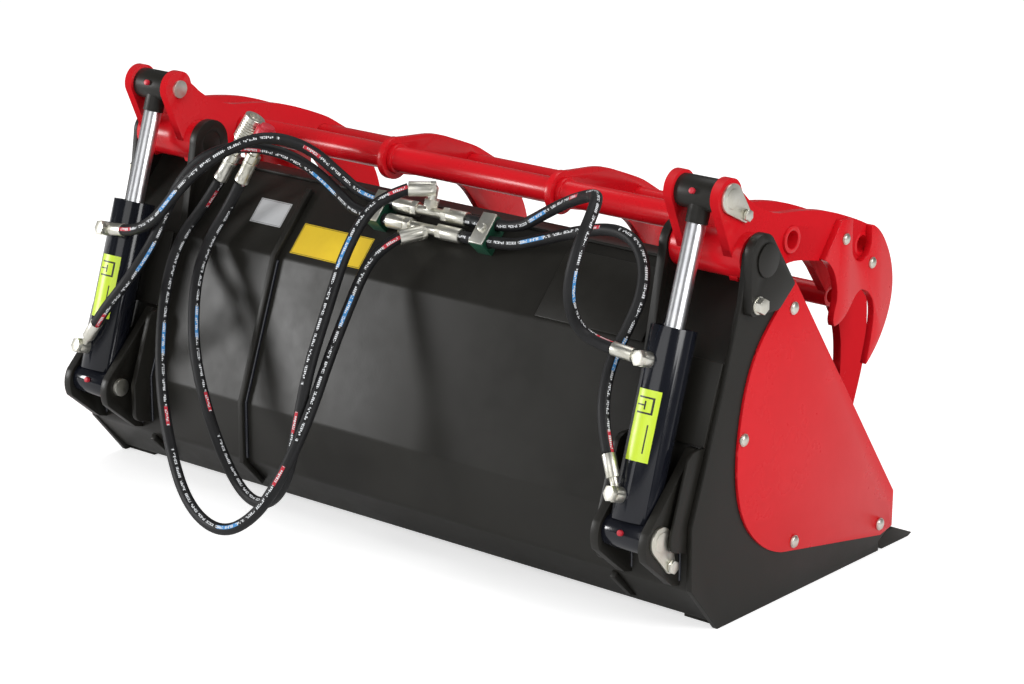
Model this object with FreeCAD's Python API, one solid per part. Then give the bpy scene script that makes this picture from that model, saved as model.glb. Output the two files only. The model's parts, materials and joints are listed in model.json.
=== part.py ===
import FreeCAD, Part
import math
import os

os.makedirs("parts", exist_ok=True)

# A silage grab bucket: a welded bucket, a hinged grab with tines and side cutters, and two
# hydraulic cylinders.  X runs across the bucket, Y towards its mouth and Z up.  Outlines are
# drawn from the rear bottom edge of the bucket, then everything moves by ORIGIN_X and ORIGIN_Y so
# that the origin lies at the bottom centre of the whole grab bucket.  All sizes are in millimetres.

ORIGIN_X = 7.5
ORIGIN_Y = 191.3

# Bucket
WIDTH = 1290.0
SIDE_T = 10.0
PANEL_T = 8.0
FOLD_R = 10.0
EAR_T = 15.0
LUG_T = 15.0
ARM_LUG_GAP = 17.0
LUG_R = 38.0
LUG_FOOT = (128.0, 400.0)
SHIELD_T = 5.0
FLOOR_Z = 8.0
FLOOR_FRONT_Y = 430.0
LOWER_FOLD = (-66.0, 80.0)
MIDDLE_FOLD = (-66.0, 178.0)
UPPER_FOLD = (18.0, 409.0)
PANEL_TOP = (115.7, 514.0)
RAIL_FRONT_Y = 154.0
RAIL_T = 5.0
PLATE_EDGE_Z = 290.0
RIB_PROUD = 10.0
RIB_T = 10.0
RIB_X = -275.0
RIB_FOOT_Z = 35.0
RIB_TOP_Z = 502.0
DOUBLER_T = 5.0
DOUBLER_START_X = 275.0
DOUBLER_TOP_Z = 500.0
BAR_PROUD = 38.0
GUSSET_T = 10.0
EDGE_GUSSET_T = 6.0
GUSSET_GAP = 14.0
RUNNER_W = 60.0
RUNNER_START_Y = 10.0
RUNNER_END_GAP = 5.0
EDGE_HEEL = (440.0, 0.0)
EDGE_SOLE = (515.0, 0.0)
EDGE_TIP = (527.0, 4.0)
EDGE_TOP = (469.0, 28.0)
EDGE_SHOULDER = (452.0, 28.0)

# Hinge of the grab and the two pins of each cylinder, as (Y, Z)
PIVOT = (85.6, 556.0)
TOP_PIN = (44.5, 650.0)
LOWER_PIN = (-116.0, 167.0)
PIVOT_PIN_R = 20.0
CYLINDER_PIN_R = 15.0
RUN_FIT = 0.05
WELD_GAP = 0.1
SIDE_GAP = 1.0
FLAG_T = 5.0

# Cylinder, with distances along it from the lower pin
BARREL_R = 35.0
BARREL_WALL = 5.0
BARREL_START = 19.0
GLAND_TOP = 309.0
GLAND_LENGTH = 36.0
ROD_R = 15.0
EYE_R = 25.0
PISTON_LENGTH = 26.0
COLLAR_R = 17.0
COLLAR_LENGTH = 22.0
TOP_PORT = 256.0
LOWER_PORT = 55.0
PORT_TURN = 12.0
PORT_R = 11.0
PORT_BOSS_H = 1.0
BANJO_T = 16.0
BANJO_R = 12.0
CLEVIS_T = 15.0
CLEVIS_GAP = 74.0

# Grab
ARM_T = 15.0
ARM_SIDE_GAP = 15.0
ARM_SPREAD = 100.0
TINE_T = 12.0
TINE_X = 178.0
CUTTER_T = 12.0
MAIN_TUBE = (199.0, 557.0)
MAIN_TUBE_R = 21.0
FRONT_TUBE = (391.5, 510.0)
FRONT_TUBE_R = 20.0
LOWER_TUBE = (436.0, 401.0)
LOWER_TUBE_R = 17.5
TUBE_WALL = 7.0
PIVOT_TUBE_R = 35.0
COLLAR_EDGE = 9.0

# Hydraulic lines on the back
HOSE_R = 9.5
FERRULE_R = 12.0
NUT_AF = 22.0
LINE_OUT = 18.0
UPPER_LINE_UP = 129.0
LOWER_LINE_UP = 99.0
CLAMP_XS = (-98.0, 125.0)
CLAMP_W = 28.0
CLAMP_OUT = 32.0
CLAMP_UP = (85.0, 142.0)
COVER_T = 3.0
BOLT_R = 10.0

# Places across the bucket, worked out from its side inwards
SIDE_X = WIDTH / 2
INNER_X = SIDE_X - SIDE_T
ARM_OUT_X = INNER_X - ARM_SIDE_GAP
ARM_IN_X = ARM_OUT_X - ARM_SPREAD
CYLINDER_X = (ARM_IN_X + ARM_OUT_X) / 2
LUG_OUT_X = ARM_IN_X - ARM_LUG_GAP
LUG_IN_X = LUG_OUT_X - LUG_T

# Middle of each banjo, out from the middle of its cylinder
BANJO_OUT = BARREL_R + PORT_BOSS_H + BANJO_T / 2


def vec(x, y, z):
    return FreeCAD.Vector(x, y, z)


def mirrored(shape):
    """The same shape on the other side of the bucket."""
    return shape.mirror(vec(0, 0, 0), vec(1, 0, 0))


def pair(shape):
    """A shape and its mirror image in one group."""
    return group([shape, mirrored(shape)])


def group(shapes):
    return Part.makeCompound(shapes)


def fuse(first, *rest):
    """One clean solid out of several that meet."""
    return first.fuse(list(rest)).removeSplitter()


class Pen:
    """Draws a closed outline in the YZ plane and turns it into a plate."""

    def __init__(self, y, z):
        self.start = self.here = vec(0, y, z)
        self.edges = []

    def line(self, *points):
        for y, z in points:
            there = vec(0, y, z)
            self.edges.append(Part.LineSegment(self.here, there).toShape())
            self.here = there
        return self

    def arc(self, middle, end):
        there = vec(0, *end)
        self.edges.append(Part.Arc(self.here, vec(0, *middle), there).toShape())
        self.here = there
        return self

    def curve(self, *points):
        """A smooth curve through the points."""
        poles = [self.here] + [vec(0, y, z) for y, z in points]
        spline = Part.BSplineCurve()
        spline.interpolate(poles)
        self.edges.append(spline.toShape())
        self.here = poles[-1]
        return self

    def plate(self, x0, x1):
        edges = list(self.edges)
        if self.here.distanceToPoint(self.start) > 1e-6:
            edges.append(Part.LineSegment(self.here, self.start).toShape())
        face = Part.Face(Part.Wire(edges))
        face.translate(vec(x0, 0, 0))
        return face.extrude(vec(x1 - x0, 0, 0))


def rounded_plate(corners, x0, x1):
    """A plate whose corners (y, z, radius) are rounded."""
    points = [vec(0, y, z) for y, z, _ in corners]
    count = len(points)
    pen = None
    for i, (_, _, radius) in enumerate(corners):
        here, before, after = points[i], points[i - 1], points[(i + 1) % count]
        into, out = (here - before).normalize(), (after - here).normalize()
        turn = into.getAngle(out)
        trim = radius * math.tan(turn / 2)
        first, last = here - into * trim, here + out * trim
        if pen is None:
            pen = Pen(first.y, first.z)
        else:
            pen.line((first.y, first.z))
        if trim > 1e-6:
            inward = (out - into).normalize()
            middle = here + inward * (radius / math.cos(turn / 2) - radius)
            pen.arc((middle.y, middle.z), (last.y, last.z))
    return pen.plate(x0, x1)


def offset_line(points, distance):
    """The points of an open line moved sideways, with mitred corners."""
    normals = []
    for (y0, z0), (y1, z1) in zip(points, points[1:]):
        length = math.hypot(y1 - y0, z1 - z0)
        normals.append(((z1 - z0) / length, (y0 - y1) / length))
    moved = []
    for i, (y, z) in enumerate(points):
        a, b = normals[max(i - 1, 0)], normals[min(i, len(normals) - 1)]
        share = distance / (1 + a[0] * b[0] + a[1] * b[1])
        moved.append((y + (a[0] + b[0]) * share, z + (a[1] + b[1]) * share))
    return moved


def disc(centre, radius, x0, x1):
    """A round bar along X between two planes."""
    return Part.makeCylinder(radius, x1 - x0, vec(x0, *centre), vec(1, 0, 0))


def ring(centre, outer, inner, x0, x1):
    return disc(centre, outer, x0, x1).cut(disc(centre, inner, x0 - 1, x1 + 1))


def bar(start, end, radius):
    """A round bar between two points."""
    along = end - start
    return Part.makeCylinder(radius, along.Length, start, along)


def hexagon(start, along, across_flats, length):
    """A six-sided bar that starts at a point and runs along a direction."""
    radius = across_flats / math.sqrt(3)
    corners = [vec(radius * math.cos(math.radians(60 * k)), radius * math.sin(math.radians(60 * k)), 0)
               for k in range(7)]
    prism = Part.Face(Part.makePolygon(corners)).extrude(vec(0, 0, length))
    prism.Placement = FreeCAD.Placement(start, FreeCAD.Rotation(vec(0, 0, 1), along))
    return prism


def panel_y(z):
    """Y of the back panel's rear face at a height, between the floor and the panel's top."""
    points = [(0.0, FLOOR_Z), LOWER_FOLD, MIDDLE_FOLD, UPPER_FOLD, PANEL_TOP]
    for (y0, z0), (y1, z1) in zip(points, points[1:]):
        if z <= z1:
            return y0 + (y1 - y0) * (z - z0) / (z1 - z0)
    return PANEL_TOP[0]


def on_panel(proud, z):
    """The point at a height that stands proud of the back panel's rear face."""
    return (panel_y(z) - proud, z)


SLOPE = math.dist(UPPER_FOLD, PANEL_TOP)
SLOPE_Y = (PANEL_TOP[0] - UPPER_FOLD[0]) / SLOPE
SLOPE_Z = (PANEL_TOP[1] - UPPER_FOLD[1]) / SLOPE


def on_slope(up, out):
    """The point a way up the panel's sloping top and out from its rear face."""
    return (UPPER_FOLD[0] + up * SLOPE_Y - out * SLOPE_Z, UPPER_FOLD[1] + up * SLOPE_Z + out * SLOPE_Y)


# Bucket body

EDGE_REAR = (FLOOR_FRONT_Y, FLOOR_Z + PANEL_T)


def shell():
    """Floor and folded back panel, bent from one sheet and cut level at the top."""
    outer = [(FLOOR_FRONT_Y, FLOOR_Z), (0.0, FLOOR_Z), LOWER_FOLD, MIDDLE_FOLD, UPPER_FOLD, PANEL_TOP]
    inner = offset_line(outer, PANEL_T)
    inner[-1] = (PANEL_TOP[0] + PANEL_T / SLOPE_Z, PANEL_TOP[1])
    outer_r = FOLD_R + PANEL_T
    corners = [(y, z, outer_r if 0 < i < 5 else 0) for i, (y, z) in enumerate(outer)]
    corners += [(y, z, FOLD_R if 0 < i < 5 else 0) for i, (y, z) in reversed(list(enumerate(inner)))]
    return rounded_plate(corners, -INNER_X, INNER_X)


def side_plate():
    """Right side of the bucket with the ear that carries the grab's hinge."""
    ear_r = 32.0
    pen = Pen(0, 0).line((-67, 79), (-67, 178), (5, 370), (45, 500), (PIVOT[0] - ear_r, PIVOT[1]))
    pen.arc((PIVOT[0], PIVOT[1] + ear_r), (PIVOT[0] + ear_r * 0.766, PIVOT[1] + ear_r * 0.643))
    pen.line((170, 505), (458, 96), (457, 37), EDGE_SHOULDER, EDGE_REAR, (FLOOR_FRONT_Y, 0))
    plate = pen.plate(INNER_X, SIDE_X)
    return plate.cut(disc(PIVOT, PIVOT_PIN_R + RUN_FIT, INNER_X - 1, SIDE_X + 1))


def ear_plate():
    """Thick reinforcement outside the right ear."""
    corners = [(46.5, 477, 8), (46.5, 597.5, 30), (92, 597.5, 30), (158, 505, 4), (118, 473, 20)]
    plate = rounded_plate(corners, SIDE_X, SIDE_X + EAR_T)
    return plate.cut(disc(PIVOT, PIVOT_PIN_R + RUN_FIT, SIDE_X - 1, SIDE_X + EAR_T + 1))


def pivot_lug():
    """Inboard lug of the hinge, welded on the back panel."""
    y, z = PIVOT
    pen = Pen(*on_panel(0, LUG_FOOT[1])).line((y - LUG_R, z)).arc((y, z + LUG_R), (y + LUG_R, z))
    plate = pen.line((LUG_FOOT[0], PANEL_TOP[1]), PANEL_TOP, UPPER_FOLD).plate(LUG_IN_X, LUG_OUT_X)
    return plate.cut(disc(PIVOT, PIVOT_PIN_R + RUN_FIT, LUG_IN_X - 1, LUG_OUT_X + 1))


def cutting_edge():
    """Wear edge across the front of the floor."""
    pen = Pen(*EDGE_REAR).line((FLOOR_FRONT_Y, FLOOR_Z), EDGE_HEEL, EDGE_SOLE, EDGE_TIP, EDGE_TOP)
    return pen.line(EDGE_SHOULDER).plate(-SIDE_X, SIDE_X)


def floor_runners():
    """Skid strips under the floor beside the side plates."""
    length = FLOOR_FRONT_Y - RUNNER_END_GAP - RUNNER_START_Y
    strip = Part.makeBox(RUNNER_W, length, FLOOR_Z, vec(INNER_X - RUNNER_W, RUNNER_START_Y, 0))
    return pair(strip)


def top_rail():
    """Level flange along the panel's top, between the hinge lugs."""
    y, z = PANEL_TOP
    return Part.makeBox(2 * LUG_IN_X, RAIL_FRONT_Y - y, RAIL_T, vec(-LUG_IN_X, y, z))


def panel_strip(points, thickness, x0, x1):
    """A flat strip that follows the back panel's rear face."""
    return Pen(*points[0]).line(*points[1:], *reversed(offset_line(points, -thickness))).plate(x0, x1)


def back_ribs():
    """Upright ribs on the back: a long one and two short ones under the hinge lugs."""
    line = [on_panel(0, RIB_FOOT_Z), LOWER_FOLD, MIDDLE_FOLD, UPPER_FOLD, on_panel(0, RIB_TOP_Z)]
    long_rib = panel_strip(line, RIB_PROUD, RIB_X - RIB_T / 2, RIB_X + RIB_T / 2)
    low = Pen(*on_panel(0, 74)).line(on_panel(RIB_PROUD + 4, 66), on_panel(RIB_PROUD, 26), on_panel(0, 20))
    short = low.plate(LUG_IN_X + 4, LUG_IN_X + 14)
    return group([long_rib, short, mirrored(short)])


def doubler_plates():
    """Doubling plates behind the cylinders and on the upper panel."""
    behind = panel_strip([on_panel(0, PLATE_EDGE_Z), UPPER_FOLD], DOUBLER_T, ARM_IN_X - 8, INNER_X)
    slope = [on_panel(0, UPPER_FOLD[1] + 2), on_panel(0, DOUBLER_TOP_Z)]
    upper = panel_strip(slope, DOUBLER_T, DOUBLER_START_X, LUG_IN_X - 5)
    return group([behind, mirrored(behind), upper])


def stiffener_bars():
    """Upright gussets on both sides of each cylinder bracket."""
    def gusset(x0, x1, foot_z):
        foot, top = on_panel(0, foot_z), on_panel(0, PLATE_EDGE_Z)
        corners = [(*foot, 0), (foot[0] - BAR_PROUD, foot_z + 10, 16), (MIDDLE_FOLD[0] - BAR_PROUD, 170, 16)]
        corners += [(top[0] - BAR_PROUD + 3, PLATE_EDGE_Z + 2, 22), (*top, 0), (*MIDDLE_FOLD, 0)]
        return rounded_plate(corners, x0, x1)
    inner_x = CYLINDER_X - CLEVIS_GAP / 2 - CLEVIS_T - GUSSET_GAP
    inner = gusset(inner_x - GUSSET_T, inner_x, 98)
    outer = gusset(INNER_X - EDGE_GUSSET_T, INNER_X, 138)
    return group([inner, outer, mirrored(inner), mirrored(outer)])


def cylinder_clevis():
    """Two lugs welded to the back that carry the cylinder's lower pin."""
    pin_y, pin_z = LOWER_PIN
    lug_r = 30.0
    pen = Pen(*on_panel(0, 84)).line(on_panel(18, 89), (pin_y - lug_r * 0.9, pin_z - lug_r * 0.93))
    pen.arc((pin_y - lug_r * 1.05, pin_z - lug_r * 0.2), (pin_y - lug_r * 0.8, pin_z + lug_r * 0.6))
    pen.line(on_panel(9, 288), on_panel(0, 288), MIDDLE_FOLD)
    plates = []
    for x0 in (CYLINDER_X - CLEVIS_GAP / 2 - CLEVIS_T, CYLINDER_X + CLEVIS_GAP / 2):
        plate = pen.plate(x0, x0 + CLEVIS_T)
        plates.append(plate.cut(disc(LOWER_PIN, CYLINDER_PIN_R + RUN_FIT, x0 - 1, x0 + CLEVIS_T + 1)))
    return group(plates)


SHIELD_IN = SIDE_X
SHIELD_TIP = (172.0, 504.5)
SHIELD_BOLTS = [(168.0, 463.0), (48.0, 287.0), (185.0, 88.0), (421.5, 49.2)]


def side_shield():
    """Red plate on the outside of the side, rounded towards the rear."""
    pen = Pen(*SHIELD_TIP).line((460, 95), (459, 36), (426, 29), (156, 78.5))
    pen.curve((120, 93), (82, 122), (53, 162), (39, 206), (35.5, 249), (41, 307), (55, 364), (80, 415),
              (120, 459), SHIELD_TIP)
    return pen.plate(SHIELD_IN, SHIELD_IN + SHIELD_T)


def dome_bolt(y, z, x, radius=BOLT_R):
    """Head of a dome bolt that stands on a face at x."""
    head = disc((y, z), radius, x, x + radius * 0.28)
    dome_r = radius * 1.5
    dome = Part.makeSphere(dome_r, vec(x + radius * 0.7 - dome_r, y, z))
    return head.fuse(dome.common(disc((y, z), radius * 0.9, x, x + radius))).removeSplitter()


def shield_bolts():
    return pair_all([dome_bolt(y, z, SHIELD_IN + SHIELD_T) for y, z in SHIELD_BOLTS])


def pair_all(shapes):
    """A list of shapes and their mirror images in one group."""
    return group(shapes + [mirrored(shape) for shape in shapes])


def pivot_pins():
    """Hinge pins of the grab, each with a welded collar at its outer end."""
    def pin(outer):
        collar = disc(PIVOT, PIVOT_PIN_R + 6, outer + 0.3, outer + 3)
        return fuse(disc(PIVOT, PIVOT_PIN_R, LUG_IN_X, outer + 2), collar)
    return group([pin(SIDE_X + EAR_T), mirrored(pin(SIDE_X))])


LOCK_BOLT = (64.0, 492.0)


def hex_bolt(y, z, x, across_flats, height, direction=1):
    """Hexagon head with its washer, standing on a face at x."""
    washer = disc((y, z), across_flats * 0.62, min(x, x + 2 * direction), max(x, x + 2 * direction))
    return washer.fuse(hexagon(vec(x + 2 * direction, y, z), vec(direction, 0, 0), across_flats, height))


def pivot_lock_bolts():
    """Lock bolts of the hinge pins: on the ear plate, and on the left side plate itself."""
    right, left = (hex_bolt(*LOCK_BOLT, seat, 22, 10) for seat in (SIDE_X + EAR_T, SIDE_X))
    return group([right, mirrored(left)])


def flag_plate(pin_centre, bolt_centre, x):
    """Drop-shaped plate that keeps a pin from turning."""
    (py, pz), (by, bz) = pin_centre, bolt_centre
    big, small = 23.0, 11.0
    length = math.hypot(by - py, bz - pz)
    uy, uz = (by - py) / length, (bz - pz) / length
    lean = math.asin((big - small) / length)

    def tangent(centre, radius, side):
        a = math.atan2(uz, uy) + side * (math.pi / 2 - lean)
        return (centre[0] + radius * math.cos(a), centre[1] + radius * math.sin(a))

    pen = Pen(*tangent(bolt_centre, small, 1))
    pen.arc((by + uy * small, bz + uz * small), tangent(bolt_centre, small, -1))
    pen.line(tangent(pin_centre, big, -1))
    pen.arc((py - uy * big, pz - uz * big), tangent(pin_centre, big, 1))
    return pen.plate(x, x + FLAG_T)


LOWER_FLAG_BOLT = (-93.0, 123.0)
TOP_FLAG_BOLT = (79.0, 619.0)


def lower_pins():
    """Lower cylinder pins with their flag plates."""
    outer = CYLINDER_X + CLEVIS_GAP / 2 + CLEVIS_T
    pin = disc(LOWER_PIN, CYLINDER_PIN_R, CYLINDER_X - CLEVIS_GAP / 2 - CLEVIS_T - 6, outer + FLAG_T + 1)
    return pair(fuse(pin, flag_plate(LOWER_PIN, LOWER_FLAG_BOLT, outer)))


def lower_pin_bolts():
    outer = CYLINDER_X + CLEVIS_GAP / 2 + CLEVIS_T + FLAG_T
    return pair(hexagon(vec(outer, *LOWER_FLAG_BOLT), vec(1, 0, 0), 19, 7))


# Hydraulic lines on the back

UPPER_LINE = on_slope(UPPER_LINE_UP, LINE_OUT)
LOWER_LINE = on_slope(LOWER_LINE_UP, LINE_OUT)


def on_clamps(out, thickness, margin):
    """A block on the slope at every clamp, from one distance out to another."""
    low, high = CLAMP_UP[0] + margin, CLAMP_UP[1] - margin
    pen = Pen(*on_slope(low, out)).line(on_slope(low, out + thickness), on_slope(high, out + thickness),
                                        on_slope(high, out))
    return [pen.plate(x - CLAMP_W / 2, x + CLAMP_W / 2) for x in CLAMP_XS]


def hose_clamps():
    """Twin clamps that hold the two lines on the panel's slope."""
    lines = [disc(centre, HOSE_R + WELD_GAP, CLAMP_XS[0] - CLAMP_W, CLAMP_XS[1] + CLAMP_W)
             for centre in (UPPER_LINE, LOWER_LINE)]
    return group([block.cut(lines) for block in on_clamps(0, CLAMP_OUT, 0)])


def clamp_covers():
    """Zinc plates over the clamps."""
    return group(on_clamps(CLAMP_OUT, COVER_T, 0.5))


def clamp_bolts():
    middle = on_slope(sum(CLAMP_UP) / 2, CLAMP_OUT + COVER_T)
    return group([hexagon(vec(x, *middle), vec(0, -SLOPE_Z, SLOPE_Y), 13, 6) for x in CLAMP_XS])


def nut(start, along, length, across_flats=NUT_AF):
    return hexagon(start, along, across_flats, length)


UPPER_ENDS = (-75.0, 75.0)
LOWER_ENDS = (-73.0, 80.0)
FERRULE_L = 36.0
ELBOW = ((-4.0, *UPPER_LINE), (1.0, 97.0, 553.0), (-31.0, 72.0, 553.0))
DROP = ((12.0, *LOWER_LINE), (3.0, 68.5, 489.0), (-20.0, 37.0, 482.0))


def straight_run(ends, centre):
    """A tee's run: ferrule, nut, body, nut and ferrule in one line."""
    left, right = ends
    x = vec(1, 0, 0)
    at = lambda value: vec(value, *centre)
    return [bar(at(left), at(left + FERRULE_L), FERRULE_R), nut(at(left + FERRULE_L), x, 12),
            bar(at(left + FERRULE_L + 12), at(right - FERRULE_L - 12), 8),
            nut(at(right - FERRULE_L - 12), x, 12), bar(at(right - FERRULE_L), at(right), FERRULE_R)]


def branch(points, body_r=7.5):
    """A tee's side branch: a nut, a bent pipe and the ferrule at its end."""
    start, corner, end = [vec(*point) for point in points]
    first, second = (corner - start).normalize(), (end - corner).normalize()
    knee = end - second * FERRULE_L
    bend = knee - second * 8
    pieces = [nut(start + first * 9, first, 12), bar(start, corner, body_r), Part.makeSphere(body_r, corner),
              bar(corner, bend + second, body_r), nut(bend, second, 9), bar(knee, end, FERRULE_R)]
    return pieces


def upper_tee():
    """Upper tee with the elbow that feeds it."""
    return fuse(*straight_run(UPPER_ENDS, UPPER_LINE), *branch(ELBOW))


def lower_tee():
    """Lower tee with the drop that feeds it."""
    return fuse(*straight_run(LOWER_ENDS, LOWER_LINE), *branch(DROP))


def free_end(name):
    """Where a feed hose ends and the direction in which it points there."""
    before, last = [vec(*point) for point in HOSES[name][-2:]]
    return last, (last - before).normalize()


def coupler(name, sleeve, sleeve_r, ribs):
    """Ferrule, nut, stub and ribbed sleeve of a quick coupling on a feed hose."""
    foot, along = free_end(name)
    at = lambda distance: foot + along * distance
    pieces = [bar(at(0), at(40), FERRULE_R), nut(at(40), along, 14), bar(at(54), at(sleeve[0]), 9)]
    pieces.append(bar(at(sleeve[0]), at(sleeve[1]), sleeve_r - 2))
    pieces += [bar(at(sleeve[0] + 6 + 9 * k), at(sleeve[0] + 10 + 9 * k), sleeve_r) for k in range(ribs)]
    return fuse(*pieces)


CAPPED_SLEEVE = (66.0, 84.0)


def plain_coupler():
    return coupler("feed_hose_lower", (74.0, 128.0), 18, 5)


def capped_coupler():
    return coupler("feed_hose_upper", CAPPED_SLEEVE, 15, 1)


def dust_cap():
    """Rubber cap over the second coupling."""
    foot, along = free_end("feed_hose_upper")
    start = foot + along * CAPPED_SLEEVE[1]
    return fuse(bar(start, start + along * 20, 17), bar(start + along * 19, start + along * 26, 12))


# Hoses, as the points of their routes
HOSES = {
    "hose_right_top": [
        (505, -80, 430), (470.4, -82.4, 434), (449, -98, 458), (462, -131, 506), (476, -144, 549),
        (481, -133, 590), (477, -102, 624), (458, -63, 640), (420, -16, 636), (325, 39, 599),
        (241, 75, 555), (172, *UPPER_LINE), (75, *UPPER_LINE)],
    "hose_right_bottom": [
        (532, -123, 284), (515.9, -113.8, 312.5), (500, -96, 358), (488, -62, 404), (498, -34, 452),
        (506, -13, 496), (491, 12, 537), (454, 34, 562), (400, 49, 567), (323, 59, 546), (240, 68, 516),
        (172, *LOWER_LINE), (80, *LOWER_LINE)],
    "hose_left_top": [
        (-530, -83, 431), (-496.7, -87.7, 436.1), (-439, -94, 467), (-371, -98, 538), (-318, -70, 591),
        (-270, -10, 620), (-231, 54, 594), (-191, 87, 545), (-142, *UPPER_LINE), (-75, *UPPER_LINE)],
    "hose_left_bottom": [
        (-540, -143, 281), (-518, -145, 308.1), (-480, -128, 359), (-457, -88, 420), (-444, -63, 480),
        (-424, -48, 529), (-385, -30, 573), (-330, -1, 591), (-274, 35, 583), (-229, 64, 554),
        (-188, 77, 518), (-142, *LOWER_LINE), (-73, *LOWER_LINE)],
    "feed_hose_upper": [
        (-31, 72, 553), (-55, 44, 542), (-71, 13, 517), (-75, -33, 459), (-62, -81, 397),
        (-45, -150, 305), (-36, -186, 224), (-42, -204, 138), (-86, -197, 83), (-152, -179, 65),
        (-222, -156, 95), (-287, -141, 183), (-336, -119, 277), (-385, -63, 362), (-410, -6, 416),
        (-397.5, 32.5, 470), (-377, 42, 514)],
    "feed_hose_lower": [
        (-20, 37, 482), (-33, 14, 470), (-42, -16, 445), (-40, -60, 388), (-32, -115, 320),
        (-15, -184, 236), (-20, -236, 159), (-57, -265, 84), (-134, -267, 39), (-231, -245, 60),
        (-311, -205, 141), (-371, -162, 238), (-429, -93, 339), (-473, -13, 410), (-451.5, 33.5, 467.2),
        (-428, 44, 510)],
}


def hose(name):
    """A hose as straight runs joined by tangent arcs along its route."""
    points = [vec(*point) for point in HOSES[name]]
    edges, here, length, smallest = [], points[0], 0.0, None
    for before, corner, after in zip(points, points[1:], points[2:]):
        into, out = (corner - before), (after - corner)
        shorter = min(into.Length, out.Length)
        into.normalize()
        out.normalize()
        turn = into.getAngle(out)
        trim = 0.45 * shorter
        radius = trim / math.tan(turn / 2)
        first, last = corner - into * trim, corner + out * trim
        middle = corner + (out - into).normalize() * (radius / math.cos(turn / 2) - radius)
        edges.append(Part.LineSegment(here, first).toShape())
        edges.append(Part.Arc(first, middle, last).toShape())
        here = last
        smallest = radius if smallest is None else min(smallest, radius)
    edges.append(Part.LineSegment(here, points[-1]).toShape())
    path = Part.Wire(edges)
    length = path.Length
    profile = Part.Wire(Part.makeCircle(HOSE_R, points[0], points[1] - points[0]))
    tube = path.makePipeShell([profile], True, False)
    share = tube.Volume / (math.pi * HOSE_R ** 2 * length)
    print(f"{name}: {length:.0f} mm long, smallest radius {smallest:.0f} mm, volume ratio {share:.4f}")
    return tube


# Grab

ARM_TOP = [(57, 673), (73, 655), (90, 640), (107, 628), (122, 620), (140, 612)]
HUMP = [(170, 603), (207, 598), (252, 591), (300, 579.5), (345, 564), (383, 549), (406, 538.5)]
CLAW_BACK = [(437, 520), (458, 507), (490, 478), (515, 440), (530, 410), (538, 380), (541, 345),
             (540, 306), (534, 270), (520, 228), (495, 165)]
CLAW_TIP = (446.0, 72.0)
CLAW_FRONT = [(452, 110), (460, 165), (467, 230), (469.5, 273), (469, 309), (458, 356), (431, 398),
              (402, 436), (366, 477), (333, 492)]
ARM_UNDER = [(295, 504), (272, 508), (229, 518), (191, 521)]
EAR_R = 30.0
HEEL = (68.0, 520.0)


def ear_start():
    """Where the ear's round passes into the arm's top edge."""
    return (TOP_PIN[0] + EAR_R * 0.56, TOP_PIN[1] + EAR_R * 0.83)


def arm_edge(pen):
    """Lower and rear edge of an arm, round its ear and back to the start."""
    pen.line(HEEL, (TOP_PIN[0] - EAR_R * 0.97, TOP_PIN[1] - EAR_R * 0.24))
    return pen.arc((TOP_PIN[0] - EAR_R * 0.3, TOP_PIN[1] + EAR_R * 0.954), ear_start())


def arm_holes(plate, tubes, x0, x1):
    holes = [disc(centre, radius + WELD_GAP, x0 - 1, x1 + 1) for centre, radius in tubes]
    return plate.cut(holes)


ARM_HOLES = [(TOP_PIN, CYLINDER_PIN_R), (PIVOT, PIVOT_TUBE_R), (MAIN_TUBE, MAIN_TUBE_R),
             (FRONT_TUBE, FRONT_TUBE_R)]


def arm_outer():
    """Outer arm plate: from the cylinder's ear to the front tube."""
    x0, x1 = ARM_OUT_X - ARM_T, ARM_OUT_X
    pen = Pen(*ear_start()).curve(*ARM_TOP, *HUMP)
    pen.arc((FRONT_TUBE[0] + 30, FRONT_TUBE[1] - 4), (FRONT_TUBE[0] - 12, FRONT_TUBE[1] - 30))
    pen.line(ARM_UNDER[0]).curve(*ARM_UNDER[1:])
    return arm_holes(arm_edge(pen).plate(x0, x1), ARM_HOLES, x0, x1)


def arm_inner():
    """Inner arm plate: it runs on into the first claw."""
    x0, x1 = ARM_IN_X, ARM_IN_X + ARM_T
    pen = Pen(*ear_start()).curve(*ARM_TOP, *HUMP, *CLAW_BACK, CLAW_TIP)
    pen.curve(*CLAW_FRONT).curve(*ARM_UNDER)
    return arm_holes(arm_edge(pen).plate(x0, x1), ARM_HOLES + [(LOWER_TUBE, LOWER_TUBE_R)], x0, x1)


def tine(x):
    """One tine between the arms, with a round heel over the main tube."""
    heel_r = 35.0
    y, z = MAIN_TUBE
    pen = Pen(y + heel_r * 0.35, z + heel_r * 0.94).curve((252, 586), *HUMP[3:], *CLAW_BACK, CLAW_TIP)
    pen.curve(*CLAW_FRONT).curve((295, 506), (250, 518), (y + heel_r * 0.5, z - heel_r * 0.87))
    pen.arc((y - heel_r, z), (y + heel_r * 0.35, z + heel_r * 0.94))
    x0, x1 = x - TINE_T / 2, x + TINE_T / 2
    tubes = [(MAIN_TUBE, MAIN_TUBE_R), (FRONT_TUBE, FRONT_TUBE_R), (LOWER_TUBE, LOWER_TUBE_R)]
    return arm_holes(pen.plate(x0, x1), tubes, x0, x1)


def tines():
    return group([tine(-TINE_X), tine(TINE_X)])


def cross_tube(centre, radius, half_length):
    """A tube right across the grab with weld rings beside the tines."""
    return ring(centre, radius, radius - TUBE_WALL, -half_length, half_length)


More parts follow.
